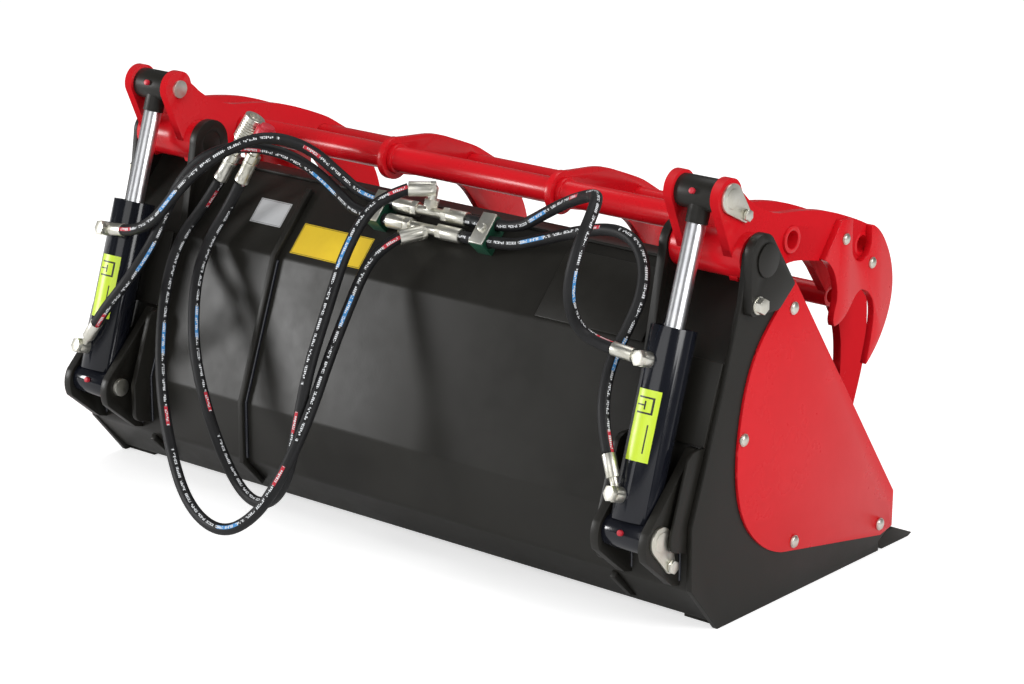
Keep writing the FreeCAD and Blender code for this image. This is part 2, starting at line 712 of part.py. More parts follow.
def main_tube():
    """Main cross tube with the collars where it passes through the tines and arms."""
    tube = cross_tube(MAIN_TUBE, MAIN_TUBE_R, ARM_OUT_X + 4)
    for x in (TINE_X + TINE_T / 2, TINE_X - TINE_T / 2 - COLLAR_EDGE, ARM_IN_X - COLLAR_EDGE):
        collar = ring(MAIN_TUBE, MAIN_TUBE_R + 4, MAIN_TUBE_R - 1, x, x + COLLAR_EDGE)
        tube = tube.fuse([collar, mirrored(collar)])
    return tube.removeSplitter()


def front_tube():
    return cross_tube(FRONT_TUBE, FRONT_TUBE_R, ARM_OUT_X)


def lower_tube():
    return cross_tube(LOWER_TUBE, LOWER_TUBE_R, ARM_IN_X + ARM_T)


def pivot_tubes():
    """Bearing tubes of the grab's hinge."""
    return pair(ring(PIVOT, PIVOT_TUBE_R, PIVOT_PIN_R + RUN_FIT, LUG_OUT_X + SIDE_GAP, INNER_X - SIDE_GAP))


NOTCH = (374.0, 515.0)
NOTCH_R = 26.5


def cutter_plate():
    """Bolted side cutter: a broad blade, a slot and a hooked tip."""
    pen = Pen(318, 564).line((275, 510))
    pen.curve((290, 499), (307, 470), (309.6, 438), (302, 407), (305, 399))
    pen.curve((318, 401), (346, 420), (367, 440), (379, 442))
    pen.curve((390, 437), (409, 416), (412, 384), (404, 344), (396, 316))
    pen.curve((428, 346), (452, 384), (463, 424), (459, 466), (443, 502), (420, 530), (404, 540))
    pen.line((NOTCH[0] + NOTCH_R, NOTCH[1] + 24), (NOTCH[0] + NOTCH_R, NOTCH[1]))
    pen.arc((NOTCH[0], NOTCH[1] - NOTCH_R), (NOTCH[0] - NOTCH_R, NOTCH[1]))
    pen.line((NOTCH[0] - NOTCH_R, 561))
    return pen.plate(ARM_OUT_X, ARM_OUT_X + CUTTER_T)


def cutter_bolts():
    seat = ARM_OUT_X + CUTTER_T
    return pair_all([dome_bolt(328, 533, seat, 9), dome_bolt(402, 480, seat, 9)])


def top_pins():
    """Outer lengths of the top cylinder pins: one stub in each ear."""
    inner = disc(TOP_PIN, CYLINDER_PIN_R, ARM_IN_X - 4, ARM_IN_X + ARM_T)
    outer = disc(TOP_PIN, CYLINDER_PIN_R, ARM_OUT_X - ARM_T, ARM_OUT_X + FLAG_T + 1)
    outer = fuse(outer, flag_plate(TOP_PIN, TOP_FLAG_BOLT, ARM_OUT_X))
    return pair_all([inner, outer])


def top_pin_bolts():
    return pair(hexagon(vec(ARM_OUT_X + FLAG_T, *TOP_FLAG_BOLT), vec(1, 0, 0), 17, 6))


# Cylinders, built upright on the lower pin and then leaned over

PIN_TO_PIN = math.hypot(TOP_PIN[0] - LOWER_PIN[0], TOP_PIN[1] - LOWER_PIN[1])
LEAN = math.degrees(math.atan2(TOP_PIN[0] - LOWER_PIN[0], TOP_PIN[1] - LOWER_PIN[1]))
EYE_W = CLEVIS_GAP - 2 * SIDE_GAP


def leaned(shape, side):
    """Turns an upright cylinder piece to its place on one side."""
    place = FreeCAD.Placement(vec(side * CYLINDER_X, *LOWER_PIN), FreeCAD.Rotation(vec(1, 0, 0), -LEAN))
    return shape.transformed(place.toMatrix())


def upright(radius, low, high):
    """A round piece along the cylinder between two distances from the lower pin."""
    return Part.makeCylinder(radius, high - low, vec(0, 0, low))


def eye(height, width):
    """An eye across the cylinder, ready for its pin."""
    across = Part.makeCylinder(EYE_R, width, vec(-width / 2, 0, height), vec(1, 0, 0))
    hole = Part.makeCylinder(CYLINDER_PIN_R + RUN_FIT, width + 2, vec(-width / 2 - 1, 0, height), vec(1, 0, 0))
    return across, hole


def port_direction():
    turn = math.radians(PORT_TURN)
    return vec(-math.sin(turn), -math.cos(turn), 0)


def barrel(side):
    """Barrel with its foot, eye and two port bosses."""
    foot, pin_hole = eye(0, EYE_W)
    cap_top = BARREL_START + 14
    body = fuse(foot, upright(BARREL_R, BARREL_START, GLAND_TOP))
    for height in (LOWER_PORT, TOP_PORT):
        start = vec(0, 0, height)
        body = body.fuse(bar(start, start + port_direction() * (BARREL_R + PORT_BOSS_H), PORT_R + 2))
    bore = upright(BARREL_R - BARREL_WALL, cap_top, GLAND_TOP + 1)
    return leaned(body.cut([bore, pin_hole]).removeSplitter(), side)


def gland(side):
    """Screwed gland that guides the rod."""
    body = upright(BARREL_R - BARREL_WALL - WELD_GAP, GLAND_TOP - GLAND_LENGTH, GLAND_TOP - 2)
    hole = upright(ROD_R + RUN_FIT, GLAND_TOP - GLAND_LENGTH - 1, GLAND_TOP + 1)
    return leaned(body.cut(hole), side)


def port_fittings(side):
    """Banjo, its bolt and the hose ferrule at each port of one cylinder."""
    pieces = []
    out = port_direction()
    word = "right" if side > 0 else "left"
    for end, height in (("top", TOP_PORT), ("bottom", LOWER_PORT)):
        seat = vec(0, 0, height)
        face = seat + out * (BANJO_OUT + BANJO_T / 2)
        banjo = bar(seat + out * (BANJO_OUT - BANJO_T / 2), face, BANJO_R)
        head = hexagon(face, out, NUT_AF, 8)
        body = leaned(banjo.fuse(head), side)
        centre = leaned(Part.Vertex(seat + out * BANJO_OUT), side).Point
        aim = vec(*HOSES[f"hose_{word}_{end}"][0])
        along = (aim - centre).normalize()
        reach = (aim - centre).Length
        start, end = centre + along * max(reach - FERRULE_L, BANJO_R + 5), aim - along * WELD_GAP
        pieces.append(fuse(body, bar(centre, start + along, 6.5), bar(start, end, FERRULE_R - 1.5)))
    return group(pieces)


def rod(side):
    """Chromed rod with its piston inside the barrel."""
    top = PIN_TO_PIN - EYE_R - COLLAR_LENGTH + 2
    low = GLAND_TOP - GLAND_LENGTH - PISTON_LENGTH - 10
    piston = upright(BARREL_R - BARREL_WALL - RUN_FIT, low, low + PISTON_LENGTH)
    return leaned(fuse(upright(ROD_R, low, top), piston), side)


def rod_eye(side):
    """Rod eye with its collar, and the middle length of the top pin inside it."""
    width = 2 * (ARM_OUT_X - ARM_T - SIDE_GAP - CYLINDER_X)
    across, pin_hole = eye(PIN_TO_PIN, width)
    collar_low = PIN_TO_PIN - EYE_R - COLLAR_LENGTH + 2
    collar = upright(COLLAR_R, collar_low, PIN_TO_PIN - 10)
    body = fuse(across, collar).cut(pin_hole)
    pin = Part.makeCylinder(CYLINDER_PIN_R, width, vec(-width / 2, 0, PIN_TO_PIN), vec(1, 0, 0))
    return group([leaned(body, side), leaned(pin, side)])


def sided(name, make):
    """A right-hand piece and its mirror image as two nodes."""
    shape = make()
    return {f"{name}_right": shape, f"{name}_left": mirrored(shape)}


def bucket():
    """Every fixed piece of the bucket."""
    nodes = {"bucket_shell": shell(), "cutting_edge": cutting_edge(), "floor_runners": floor_runners(),
             "top_rail": top_rail(), "back_ribs": back_ribs(), "doubler_plates": doubler_plates(),
             "stiffener_bars": stiffener_bars(), "ear_plate_right": ear_plate(),
             "shield_bolts": shield_bolts(), "pivot_pins": pivot_pins(),
             "pivot_lock_bolts": pivot_lock_bolts(), "lower_pins": lower_pins(),
             "lower_pin_bolts": lower_pin_bolts()}
    nodes.update(sided("side_plate", side_plate))
    nodes.update(sided("pivot_lug", pivot_lug))
    nodes.update(sided("cylinder_clevis", cylinder_clevis))
    nodes.update(sided("side_shield", side_shield))
    return nodes


def hydraulics():
    """Clamps, tees, couplings and hoses on the back of the bucket."""
    nodes = {"hose_clamps": hose_clamps(), "clamp_covers": clamp_covers(), "clamp_bolts": clamp_bolts(),
             "upper_tee": upper_tee(), "lower_tee": lower_tee(), "plain_coupler": plain_coupler(),
             "capped_coupler": capped_coupler(), "dust_cap": dust_cap()}
    nodes.update({name: hose(name) for name in HOSES})
    return nodes


def grab():
    """Every piece that turns about the pivot pins."""
    nodes = {"tines": tines(), "main_tube": main_tube(), "front_tube": front_tube(),
             "lower_tube": lower_tube(), "pivot_tubes": pivot_tubes(), "cutter_bolts": cutter_bolts(), "top_pins": top_pins(),
             "top_pin_bolts": top_pin_bolts()}
    nodes.update(sided("arm_outer", arm_outer))
    nodes.update(sided("arm_inner", arm_inner))
    nodes.update(sided("cutter_plate", cutter_plate))
    return nodes


def cylinders():
    """Both hydraulic cylinders, which are the same part and not mirror images."""
    nodes = {}
    for word, side in (("right", 1), ("left", -1)):
        nodes[f"barrel_{word}"] = barrel(side)
        nodes[f"gland_{word}"] = gland(side)
        nodes[f"port_fittings_{word}"] = port_fittings(side)
        nodes[f"rod_{word}"] = rod(side)
        nodes[f"rod_eye_{word}"] = rod_eye(side)
    return nodes


def main():
    """Builds every node, moves it to the part's origin and writes it."""
    nodes = {**bucket(), **hydraulics(), **grab(), **cylinders()}
    for name, shape in nodes.items():
        shape.translate(vec(-ORIGIN_X, -ORIGIN_Y, 0))
        shape.exportStep(f"parts/{name}.step")
    hoses = set(HOSES)
    rigid = group([shape for name, shape in nodes.items() if name not in hoses])
    box = rigid.BoundBox
    print(f"{len(nodes)} nodes, box X {box.XMin:.2f} {box.XMax:.2f} Y {box.YMin:.2f} {box.YMax:.2f} "
          f"Z {box.ZMin:.2f} {box.ZMax:.2f}")


main()
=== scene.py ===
"""Looks of a silage grab bucket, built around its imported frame.

Every piece is in metres in the frame's own axes: X across the bucket, Y towards its mouth, Z up.
"""

import json
import logging
import math
from collections.abc import Callable, Sequence
from dataclasses import dataclass
from enum import Enum

import bmesh
import bpy
from mathutils import Matrix, Vector


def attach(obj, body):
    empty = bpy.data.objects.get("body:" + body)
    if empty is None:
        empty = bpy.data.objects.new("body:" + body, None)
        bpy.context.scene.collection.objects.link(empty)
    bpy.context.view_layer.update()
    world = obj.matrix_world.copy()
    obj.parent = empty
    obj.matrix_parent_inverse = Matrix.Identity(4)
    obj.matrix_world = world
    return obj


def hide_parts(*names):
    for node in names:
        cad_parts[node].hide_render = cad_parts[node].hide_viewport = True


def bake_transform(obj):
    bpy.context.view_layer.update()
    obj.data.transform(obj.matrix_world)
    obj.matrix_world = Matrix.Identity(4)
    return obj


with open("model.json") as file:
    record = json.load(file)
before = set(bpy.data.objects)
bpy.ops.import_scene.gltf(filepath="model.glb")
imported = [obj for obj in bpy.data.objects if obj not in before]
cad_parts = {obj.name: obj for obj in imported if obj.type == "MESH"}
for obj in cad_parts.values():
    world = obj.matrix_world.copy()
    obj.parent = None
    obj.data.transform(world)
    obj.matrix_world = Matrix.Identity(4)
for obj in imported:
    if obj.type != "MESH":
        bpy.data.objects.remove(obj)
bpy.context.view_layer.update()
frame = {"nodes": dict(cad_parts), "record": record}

log = logging.getLogger("grab_bucket")

MM = 0.001
ORIGIN_X = 7.5  # the drawing's middle plane and rear bottom edge lie this far from the frame's origin, in mm
ORIGIN_Y = 191.3
SIDES = {"right": 1, "left": -1}
CYLINDER_X = 570.0
LOWER_PIN = (-116.0, 167.0)
TOP_PIN = (44.5, 650.0)
UPPER_FOLD = (18.0, 409.0)
SLOPE = (0.6812, 0.7321)  # direction up the panel's sloping top, as Y and Z
EAR_ANGLE = 56.0  # where an ear's round meets its arm's top edge, in degrees

Point = tuple[float, float, float]
Colour = tuple[float, float, float]


class Slot(Enum):
    """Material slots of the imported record."""

    RED = "red_paint"
    BLACK = "black_paint"
    CHROME = "chrome"
    ZINC = "zinc"
    WEAR = "wear_steel"
    HOSE = "hose_rubber"
    CLAMP = "clamp_plastic"
    CAP = "cap_rubber"


def at(x: float, y: float, z: float) -> Vector:
    """A point of the drawing, given in mm from the rear bottom edge, as a point of the frame."""
    return Vector(((x - ORIGIN_X) * MM, (y - ORIGIN_Y) * MM, z * MM))


def on_slope(x: float, up: float, out: float) -> Point:
    """A point of the drawing a way up the panel's sloping top and out from its rear face."""
    return x, UPPER_FOLD[0] + up * SLOPE[0] - out * SLOPE[1], UPPER_FOLD[1] + up * SLOPE[1] + out * SLOPE[0]


def deselect() -> None:
    """Leaves edit mode and deselects every object."""
    if bpy.context.object and bpy.context.object.mode != "OBJECT":
        bpy.ops.object.mode_set(mode="OBJECT")
    bpy.ops.object.select_all(action="DESELECT")


def activate(piece: bpy.types.Object) -> bpy.types.Object:
    """Selects one object alone and makes it active.

    Args:
        piece: The object to work on.

    Returns:
        The same object.
    """
    deselect()
    piece.select_set(True)
    bpy.context.view_layer.objects.active = piece
    return piece


def smooth(piece: bpy.types.Object, degrees: float = 32.0) -> bpy.types.Object:
    """Shades a piece smooth, apart from edges sharper than an angle.

    Args:
        piece: The mesh object.
        degrees: Edges that turn more than this stay sharp.

    Returns:
        The same object.
    """
    activate(piece)
    bpy.ops.object.shade_smooth_by_angle(angle=math.radians(degrees))
    return piece


def bevelled(piece: bpy.types.Object, width: float, segments: int = 2, degrees: float = 35.0) -> bpy.types.Object:
    """Rounds the sharp edges of a piece and applies the result.

    Args:
        piece: The mesh object.
        width: Width of the rounding in metres.
        segments: Faces across each rounding.
        degrees: Only edges that turn more than this are rounded.

    Returns:
        The same object.
    """
    activate(piece)
    bevel = piece.modifiers.new("rounding", "BEVEL")
    bevel.width = width
    bevel.segments = segments
    bevel.limit_method = "ANGLE"
    bevel.angle_limit = math.radians(degrees)
    bevel.use_clamp_overlap = True
    bevel.harden_normals = False
    bpy.ops.object.modifier_apply(modifier=bevel.name)
    return smooth(piece)


def settle(piece: bpy.types.Object) -> bpy.types.Object:
    """Moves an object's place, turn and size into its mesh.

    Args:
        piece: The object, placed by its own transform.

    Returns:
        The same object at the origin, unturned and unscaled.
    """
    activate(piece)
    bpy.ops.object.transform_apply(location=True, rotation=True, scale=True)
    return piece


def joined(name: str, pieces: Sequence[bpy.types.Object]) -> bpy.types.Object:
    """Joins several meshes into one named object.

    Args:
        name: The new object's name.
        pieces: The meshes; the first one stays.

    Returns:
        The joined object.
    """
    activate(pieces[0])
    for piece in pieces[1:]:
        piece.select_set(True)
    if len(pieces) > 1:
        bpy.ops.object.join()
    pieces[0].name = name
    pieces[0].data.name = name
    return pieces[0]


def copied(piece: bpy.types.Object, move: Matrix) -> bpy.types.Object:
    """A copy of a piece with its own mesh, moved by a matrix.

    Args:
        piece: The object to copy.
        move: Where the copy's mesh goes.

    Returns:
        The copy.
    """
    twin = piece.copy()
    twin.data = piece.data.copy()
    bpy.context.scene.collection.objects.link(twin)
    twin.data.transform(move)
    return twin


class NodeGroups:
    """Shader effects that several finishes share, each built once."""

    made: dict[str, bpy.types.NodeTree] = {}

    @classmethod
    def build(cls, name: str, inputs: dict[str, float], outputs: dict[str, str],
              draw: Callable[[bpy.types.NodeTree, bpy.types.Node, bpy.types.Node], None]) -> bpy.types.NodeTree:
        """Makes a node group the first time it is asked for.

        Args:
            name: The group's name.
            inputs: Names and default values of its number inputs.
            outputs: Names and socket types of its outputs.
            draw: Adds the nodes between the group's input and output.

        Returns:
            The node group.
        """
        if name in cls.made:
            return cls.made[name]
        tree = bpy.data.node_groups.new(name, "ShaderNodeTree")
        for key, value in inputs.items():
            socket = tree.interface.new_socket(key, in_out="INPUT", socket_type="NodeSocketFloat")
            socket.default_value = value
        for key, kind in outputs.items():
            tree.interface.new_socket(key, in_out="OUTPUT", socket_type=kind)
        source, sink = tree.nodes.new("NodeGroupInput"), tree.nodes.new("NodeGroupOutput")
        draw(tree, source, sink)
        cls.made[name] = tree
        return tree

    @classmethod
    def mottle(cls) -> bpy.types.NodeTree:
        """Soft cloudy mask from two sizes of noise, from 0 to 1."""
        def draw(tree: bpy.types.NodeTree, source: bpy.types.Node, sink: bpy.types.Node) -> None:
            """Adds the nodes of the mask."""
            place = tree.nodes.new("ShaderNodeTexCoord")
            large, small = tree.nodes.new("ShaderNodeTexNoise"), tree.nodes.new("ShaderNodeTexNoise")
            ramp = tree.nodes.new("ShaderNodeMapRange")
            mix = tree.nodes.new("ShaderNodeMath")
            mix.operation = "MULTIPLY_ADD"
            mix.inputs[1].default_value = 0.35
            large.inputs["Detail"].default_value = 3
            small.inputs["Detail"].default_value = 5
            factor = tree.nodes.new("ShaderNodeMath")
            factor.operation = "MULTIPLY"
            factor.inputs[1].default_value = 9.0
            tree.links.new(place.outputs["Object"], large.inputs["Vector"])
            tree.links.new(place.outputs["Object"], small.inputs["Vector"])
            tree.links.new(source.outputs["Scale"], large.inputs["Scale"])
            tree.links.new(source.outputs["Scale"], factor.inputs[0])
            tree.links.new(factor.outputs[0], small.inputs["Scale"])
            tree.links.new(small.outputs["Fac"], mix.inputs[0])
            tree.links.new(large.outputs["Fac"], mix.inputs[2])
            tree.links.new(mix.outputs[0], ramp.inputs["Value"])
            ramp.inputs["From Min"].default_value = 0.45
            ramp.inputs["From Max"].default_value = 0.9
            tree.links.new(ramp.outputs[0], sink.inputs["Mask"])
        return cls.build("mottle", {"Scale": 6.0}, {"Mask": "NodeSocketFloat"}, draw)

    @classmethod
    def peel(cls) -> bpy.types.NodeTree:
        """Normal of sprayed paint: fine orange peel over a slow waviness."""
        def draw(tree: bpy.types.NodeTree, source: bpy.types.Node, sink: bpy.types.Node) -> None:
            """Adds the nodes of the bump."""
            place = tree.nodes.new("ShaderNodeTexCoord")
            fine, slow = tree.nodes.new("ShaderNodeTexNoise"), tree.nodes.new("ShaderNodeTexNoise")
            fine.inputs["Scale"].default_value = 420.0
            fine.inputs["Detail"].default_value = 1.0
            slow.inputs["Scale"].default_value = 9.0
            slow.inputs["Detail"].default_value = 1.0
            first, second = tree.nodes.new("ShaderNodeBump"), tree.nodes.new("ShaderNodeBump")
            first.inputs["Distance"].default_value = 0.0002
            second.inputs["Distance"].default_value = 0.004
            tree.links.new(place.outputs["Object"], fine.inputs["Vector"])
            tree.links.new(place.outputs["Object"], slow.inputs["Vector"])
            tree.links.new(fine.outputs["Fac"], first.inputs["Height"])
            tree.links.new(slow.outputs["Fac"], second.inputs["Height"])
            tree.links.new(source.outputs["Peel"], first.inputs["Strength"])
            tree.links.new(source.outputs["Wave"], second.inputs["Strength"])
            tree.links.new(second.outputs["Normal"], first.inputs["Normal"])
            tree.links.new(first.outputs["Normal"], sink.inputs["Normal"])
        return cls.build("peel", {"Peel": 0.3, "Wave": 0.2}, {"Normal": "NodeSocketVector"}, draw)


class Shader:
    """A material under construction: its tree, its Principled shader and small helpers."""

    def __init__(self, name: str) -> None:
        """Makes the material with an empty Principled shader."""
        self.material = bpy.data.materials.new(name)
        self.material.use_nodes = True
        self.tree = self.material.node_tree
        self.bsdf = self.tree.nodes["Principled BSDF"]

    def node(self, kind: str, **values: float) -> bpy.types.Node:
        """Adds a node and sets named inputs.

        Args:
            kind: Blender's name of the node type.
            values: Input values, with underscores for spaces in the sockets' names.

        Returns:
            The node.
        """
        made = self.tree.nodes.new(kind)
        for key, value in values.items():
            made.inputs[key.replace("_", " ")].default_value = value
        return made

    def group(self, tree: bpy.types.NodeTree, **values: float) -> bpy.types.Node:
        """Places a shared effect in the material.

        Args:
            tree: The node group.
            values: Values of its inputs.

        Returns:
            The group node.
        """
        made = self.tree.nodes.new("ShaderNodeGroup")
        made.node_tree = tree
        for key, value in values.items():
            made.inputs[key].default_value = value
        return made

    def link(self, source: bpy.types.NodeSocket, target: bpy.types.NodeSocket) -> None:
        """Joins two sockets."""
        self.tree.links.new(source, target)

    def math(self, operation: str, first: bpy.types.NodeSocket | float,
             second: bpy.types.NodeSocket | float = 0.0, third: float = 0.0) -> bpy.types.NodeSocket:
        """Adds a Math node.

        Args:
            operation: Blender's name of the operation.
            first: Its first input, a socket or a number.
            second: Its second input.
            third: Its third value, where the operation has one.

        Returns:
            The node's output.
        """
        made = self.tree.nodes.new("ShaderNodeMath")
        made.operation = operation
        for place, value in enumerate((first, second)):
            if isinstance(value, (int, float)):
                made.inputs[place].default_value = value
            else:
                self.link(value, made.inputs[place])
        made.inputs[2].default_value = third
        return made.outputs[0]

    def blend(self, mask: bpy.types.NodeSocket, low: Colour | bpy.types.NodeSocket,
              high: Colour | bpy.types.NodeSocket) -> bpy.types.NodeSocket:
        """Mixes two colours by a mask.

        Args:
            mask: 0 gives the first colour and 1 the second.
            low: First colour, or a socket that carries it.
            high: Second colour, or a socket that carries it.

        Returns:
            The mixed colour.
        """
        made = self.tree.nodes.new("ShaderNodeMix")
        made.data_type = "RGBA"
        self.link(mask, made.inputs["Factor"])
        for name, value in (("A", low), ("B", high)):
            socket = next(s for s in made.inputs if s.name == name and s.type == "RGBA")
            if isinstance(value, tuple):
                socket.default_value = (*value, 1.0)
            else:
                self.link(value, socket)
        return next(s for s in made.outputs if s.type == "RGBA")

    def span(self, value: bpy.types.NodeSocket, low: float, high: float) -> bpy.types.NodeSocket:
        """Maps a mask from 0..1 to a range.

        Args:
            value: The mask.
            low: Result where the mask is 0.
            high: Result where it is 1.

        Returns:
            The mapped value.
        """
        made = self.node("ShaderNodeMapRange", To_Min=low, To_Max=high)
        self.link(value, made.inputs["Value"])
        return made.outputs[0]


@dataclass(frozen=True)
class Paint:
    """Sprayed paint with a light orange peel and a little cloudiness."""

    name: str
    colour: Colour
    shade: Colour
    roughness: tuple[float, float]
    peel: float = 0.25
    wave: float = 0.12
    coat: float = 0.0
    specular: float = 0.3

    def material(self) -> bpy.types.Material:
        """Builds the paint's material."""
        shader = Shader(self.name)
        cloud = shader.group(NodeGroups.mottle(), Scale=5.0).outputs["Mask"]
        shader.link(shader.blend(cloud, self.colour, self.shade), shader.bsdf.inputs["Base Color"])
        shader.link(shader.span(cloud, *self.roughness), shader.bsdf.inputs["Roughness"])
        skin = shader.group(NodeGroups.peel(), Peel=self.peel, Wave=self.wave)
        shader.link(skin.outputs["Normal"], shader.bsdf.inputs["Normal"])
        shader.bsdf.inputs["Coat Weight"].default_value = self.coat
        shader.bsdf.inputs["Coat Roughness"].default_value = 0.08
        shader.bsdf.inputs["Specular IOR Level"].default_value = self.specular
        return shader.material


@dataclass(frozen=True)
class Metal:
    """Bare or plated metal with a fine grain in its roughness and bump, scaled along each axis by its streak."""

    name: str
    colour: Colour
    shade: Colour
    roughness: tuple[float, float]
    streak: Point = (40.0, 40.0, 40.0)
    bump: float = 0.1

    def material(self) -> bpy.types.Material:
        """Builds the metal's material."""
        shader = Shader(self.name)
        place = shader.node("ShaderNodeTexCoord")
        mapping = shader.node("ShaderNodeMapping")
        mapping.inputs["Scale"].default_value = self.streak
        grain = shader.node("ShaderNodeTexNoise", Scale=12.0, Detail=6.0)
        shader.link(place.outputs["Object"], mapping.inputs["Vector"])
        shader.link(mapping.outputs[0], grain.inputs["Vector"])
        cloud = shader.group(NodeGroups.mottle(), Scale=30.0).outputs["Mask"]
        shader.link(shader.blend(cloud, self.colour, self.shade), shader.bsdf.inputs["Base Color"])
        shader.link(shader.span(grain.outputs["Fac"], *self.roughness), shader.bsdf.inputs["Roughness"])
        bump = shader.node("ShaderNodeBump", Strength=self.bump, Distance=0.0003)
        shader.link(grain.outputs["Fac"], bump.inputs["Height"])
        shader.link(bump.outputs["Normal"], shader.bsdf.inputs["Normal"])
        shader.bsdf.inputs["Metallic"].default_value = 1.0
        return shader.material


@dataclass(frozen=True)
class Moulded:
    """Moulded plastic or rubber with a fine grain."""

    name: str
    colour: Colour
    shade: Colour
    roughness: tuple[float, float]
    grain: float = 900.0
    bump: float = 0.2

    def material(self) -> bpy.types.Material:
        """Builds the moulded material."""
        shader = Shader(self.name)
        cloud = shader.group(NodeGroups.mottle(), Scale=14.0).outputs["Mask"]
        shader.link(shader.blend(cloud, self.colour, self.shade), shader.bsdf.inputs["Base Color"])
        shader.link(shader.span(cloud, *self.roughness), shader.bsdf.inputs["Roughness"])
        place = shader.node("ShaderNodeTexCoord")
        grain = shader.node("ShaderNodeTexNoise", Scale=self.grain, Detail=2.0)
        shader.link(place.outputs["Object"], grain.inputs["Vector"])
        bump = shader.node("ShaderNodeBump", Strength=self.bump, Distance=0.0002)
        shader.link(grain.outputs["Fac"], bump.inputs["Height"])
        shader.link(bump.outputs["Normal"], shader.bsdf.inputs["Normal"])
        return shader.material


@dataclass(frozen=True)
class HoseSkin:
    """Black hose cover with a wrapped-cloth print, pale dashes and coloured bars along one line.

    The hose's UV map holds metres along the hose and turns about it.
    """

    name: str = "hose_cover"
    black: Colour = (0.007, 0.007, 0.008)
    grey: Colour = (0.015, 0.015, 0.016)
    print_white: Colour = (0.72, 0.74, 0.76)
    bar_blue: Colour = (0.06, 0.27, 0.60)
    bar_red: Colour = (0.55, 0.03, 0.05)
    line: float = 0.25
    period: float = 0.42

    def material(self) -> bpy.types.Material:
        """Builds the hose cover's material."""
        shader = Shader(self.name)
        uv = shader.node("ShaderNodeUVMap")
        uv.uv_map = "hose"
        parts = shader.node("ShaderNodeSeparateXYZ")
        shader.link(uv.outputs[0], parts.inputs[0])
        along, around = parts.outputs["X"], parts.outputs["Y"]
        cloud = shader.group(NodeGroups.mottle(), Scale=18.0).outputs["Mask"]
        rubber = shader.blend(cloud, self.black, self.grey)
        wave = shader.math("SINE", shader.math("MULTIPLY", along, 2900.0))
        off = shader.math("ABSOLUTE", shader.math("SUBTRACT", around, self.line))
        narrow = shader.math("LESS_THAN", off, 0.036)
        wide = shader.math("LESS_THAN", off, 0.050)
        place = shader.math("FRACT", shader.math("DIVIDE", along, self.period))
        red = shader.math("LESS_THAN", place, 0.08)
        blue = shader.math("LESS_THAN", shader.math("FRACT", shader.math("ADD", place, 0.70)), 0.13)
        mark = shader.math("GREATER_THAN", shader.math("FRACT", shader.math("MULTIPLY", along, 310.0)), 0.30)
        step = shader.math("FLOOR", shader.math("MULTIPLY", along, 310.0))
        notch = shader.node("ShaderNodeTexWhiteNoise")
        notch.noise_dimensions = "2D"
        grid = shader.node("ShaderNodeCombineXYZ")
        shader.link(step, grid.inputs[0])
        shader.link(shader.math("FLOOR", shader.math("MULTIPLY", around, 42.0)), grid.inputs[1])
        shader.link(grid.outputs[0], notch.inputs["Vector"])
        inked = shader.math("GREATER_THAN", notch.outputs["Value"], 0.22)
        gap = shader.math("GREATER_THAN", shader.math("FRACT", shader.math("MULTIPLY", along, 38.0)), 0.20)
        bare = shader.math("LESS_THAN", place, 0.90)
        colour = shader.blend(shader.math("MULTIPLY", wide, blue), rubber, self.bar_blue)
        colour = shader.blend(shader.math("MULTIPLY", wide, red), colour, self.bar_red)
        marks = shader.math("MULTIPLY", shader.math("MULTIPLY", narrow, mark), shader.math("MULTIPLY", gap, inked))
        colour = shader.blend(shader.math("MULTIPLY", marks, bare), colour, self.print_white)
        shader.link(colour, shader.bsdf.inputs["Base Color"])
        shader.link(shader.span(cloud, 0.46, 0.60), shader.bsdf.inputs["Roughness"])
        shader.bsdf.inputs["Specular IOR Level"].default_value = 0.3
        bump = shader.node("ShaderNodeBump", Strength=0.18, Distance=0.0003)
        shader.link(wave, bump.inputs["Height"])
        shader.link(bump.outputs["Normal"], shader.bsdf.inputs["Normal"])
        return shader.material


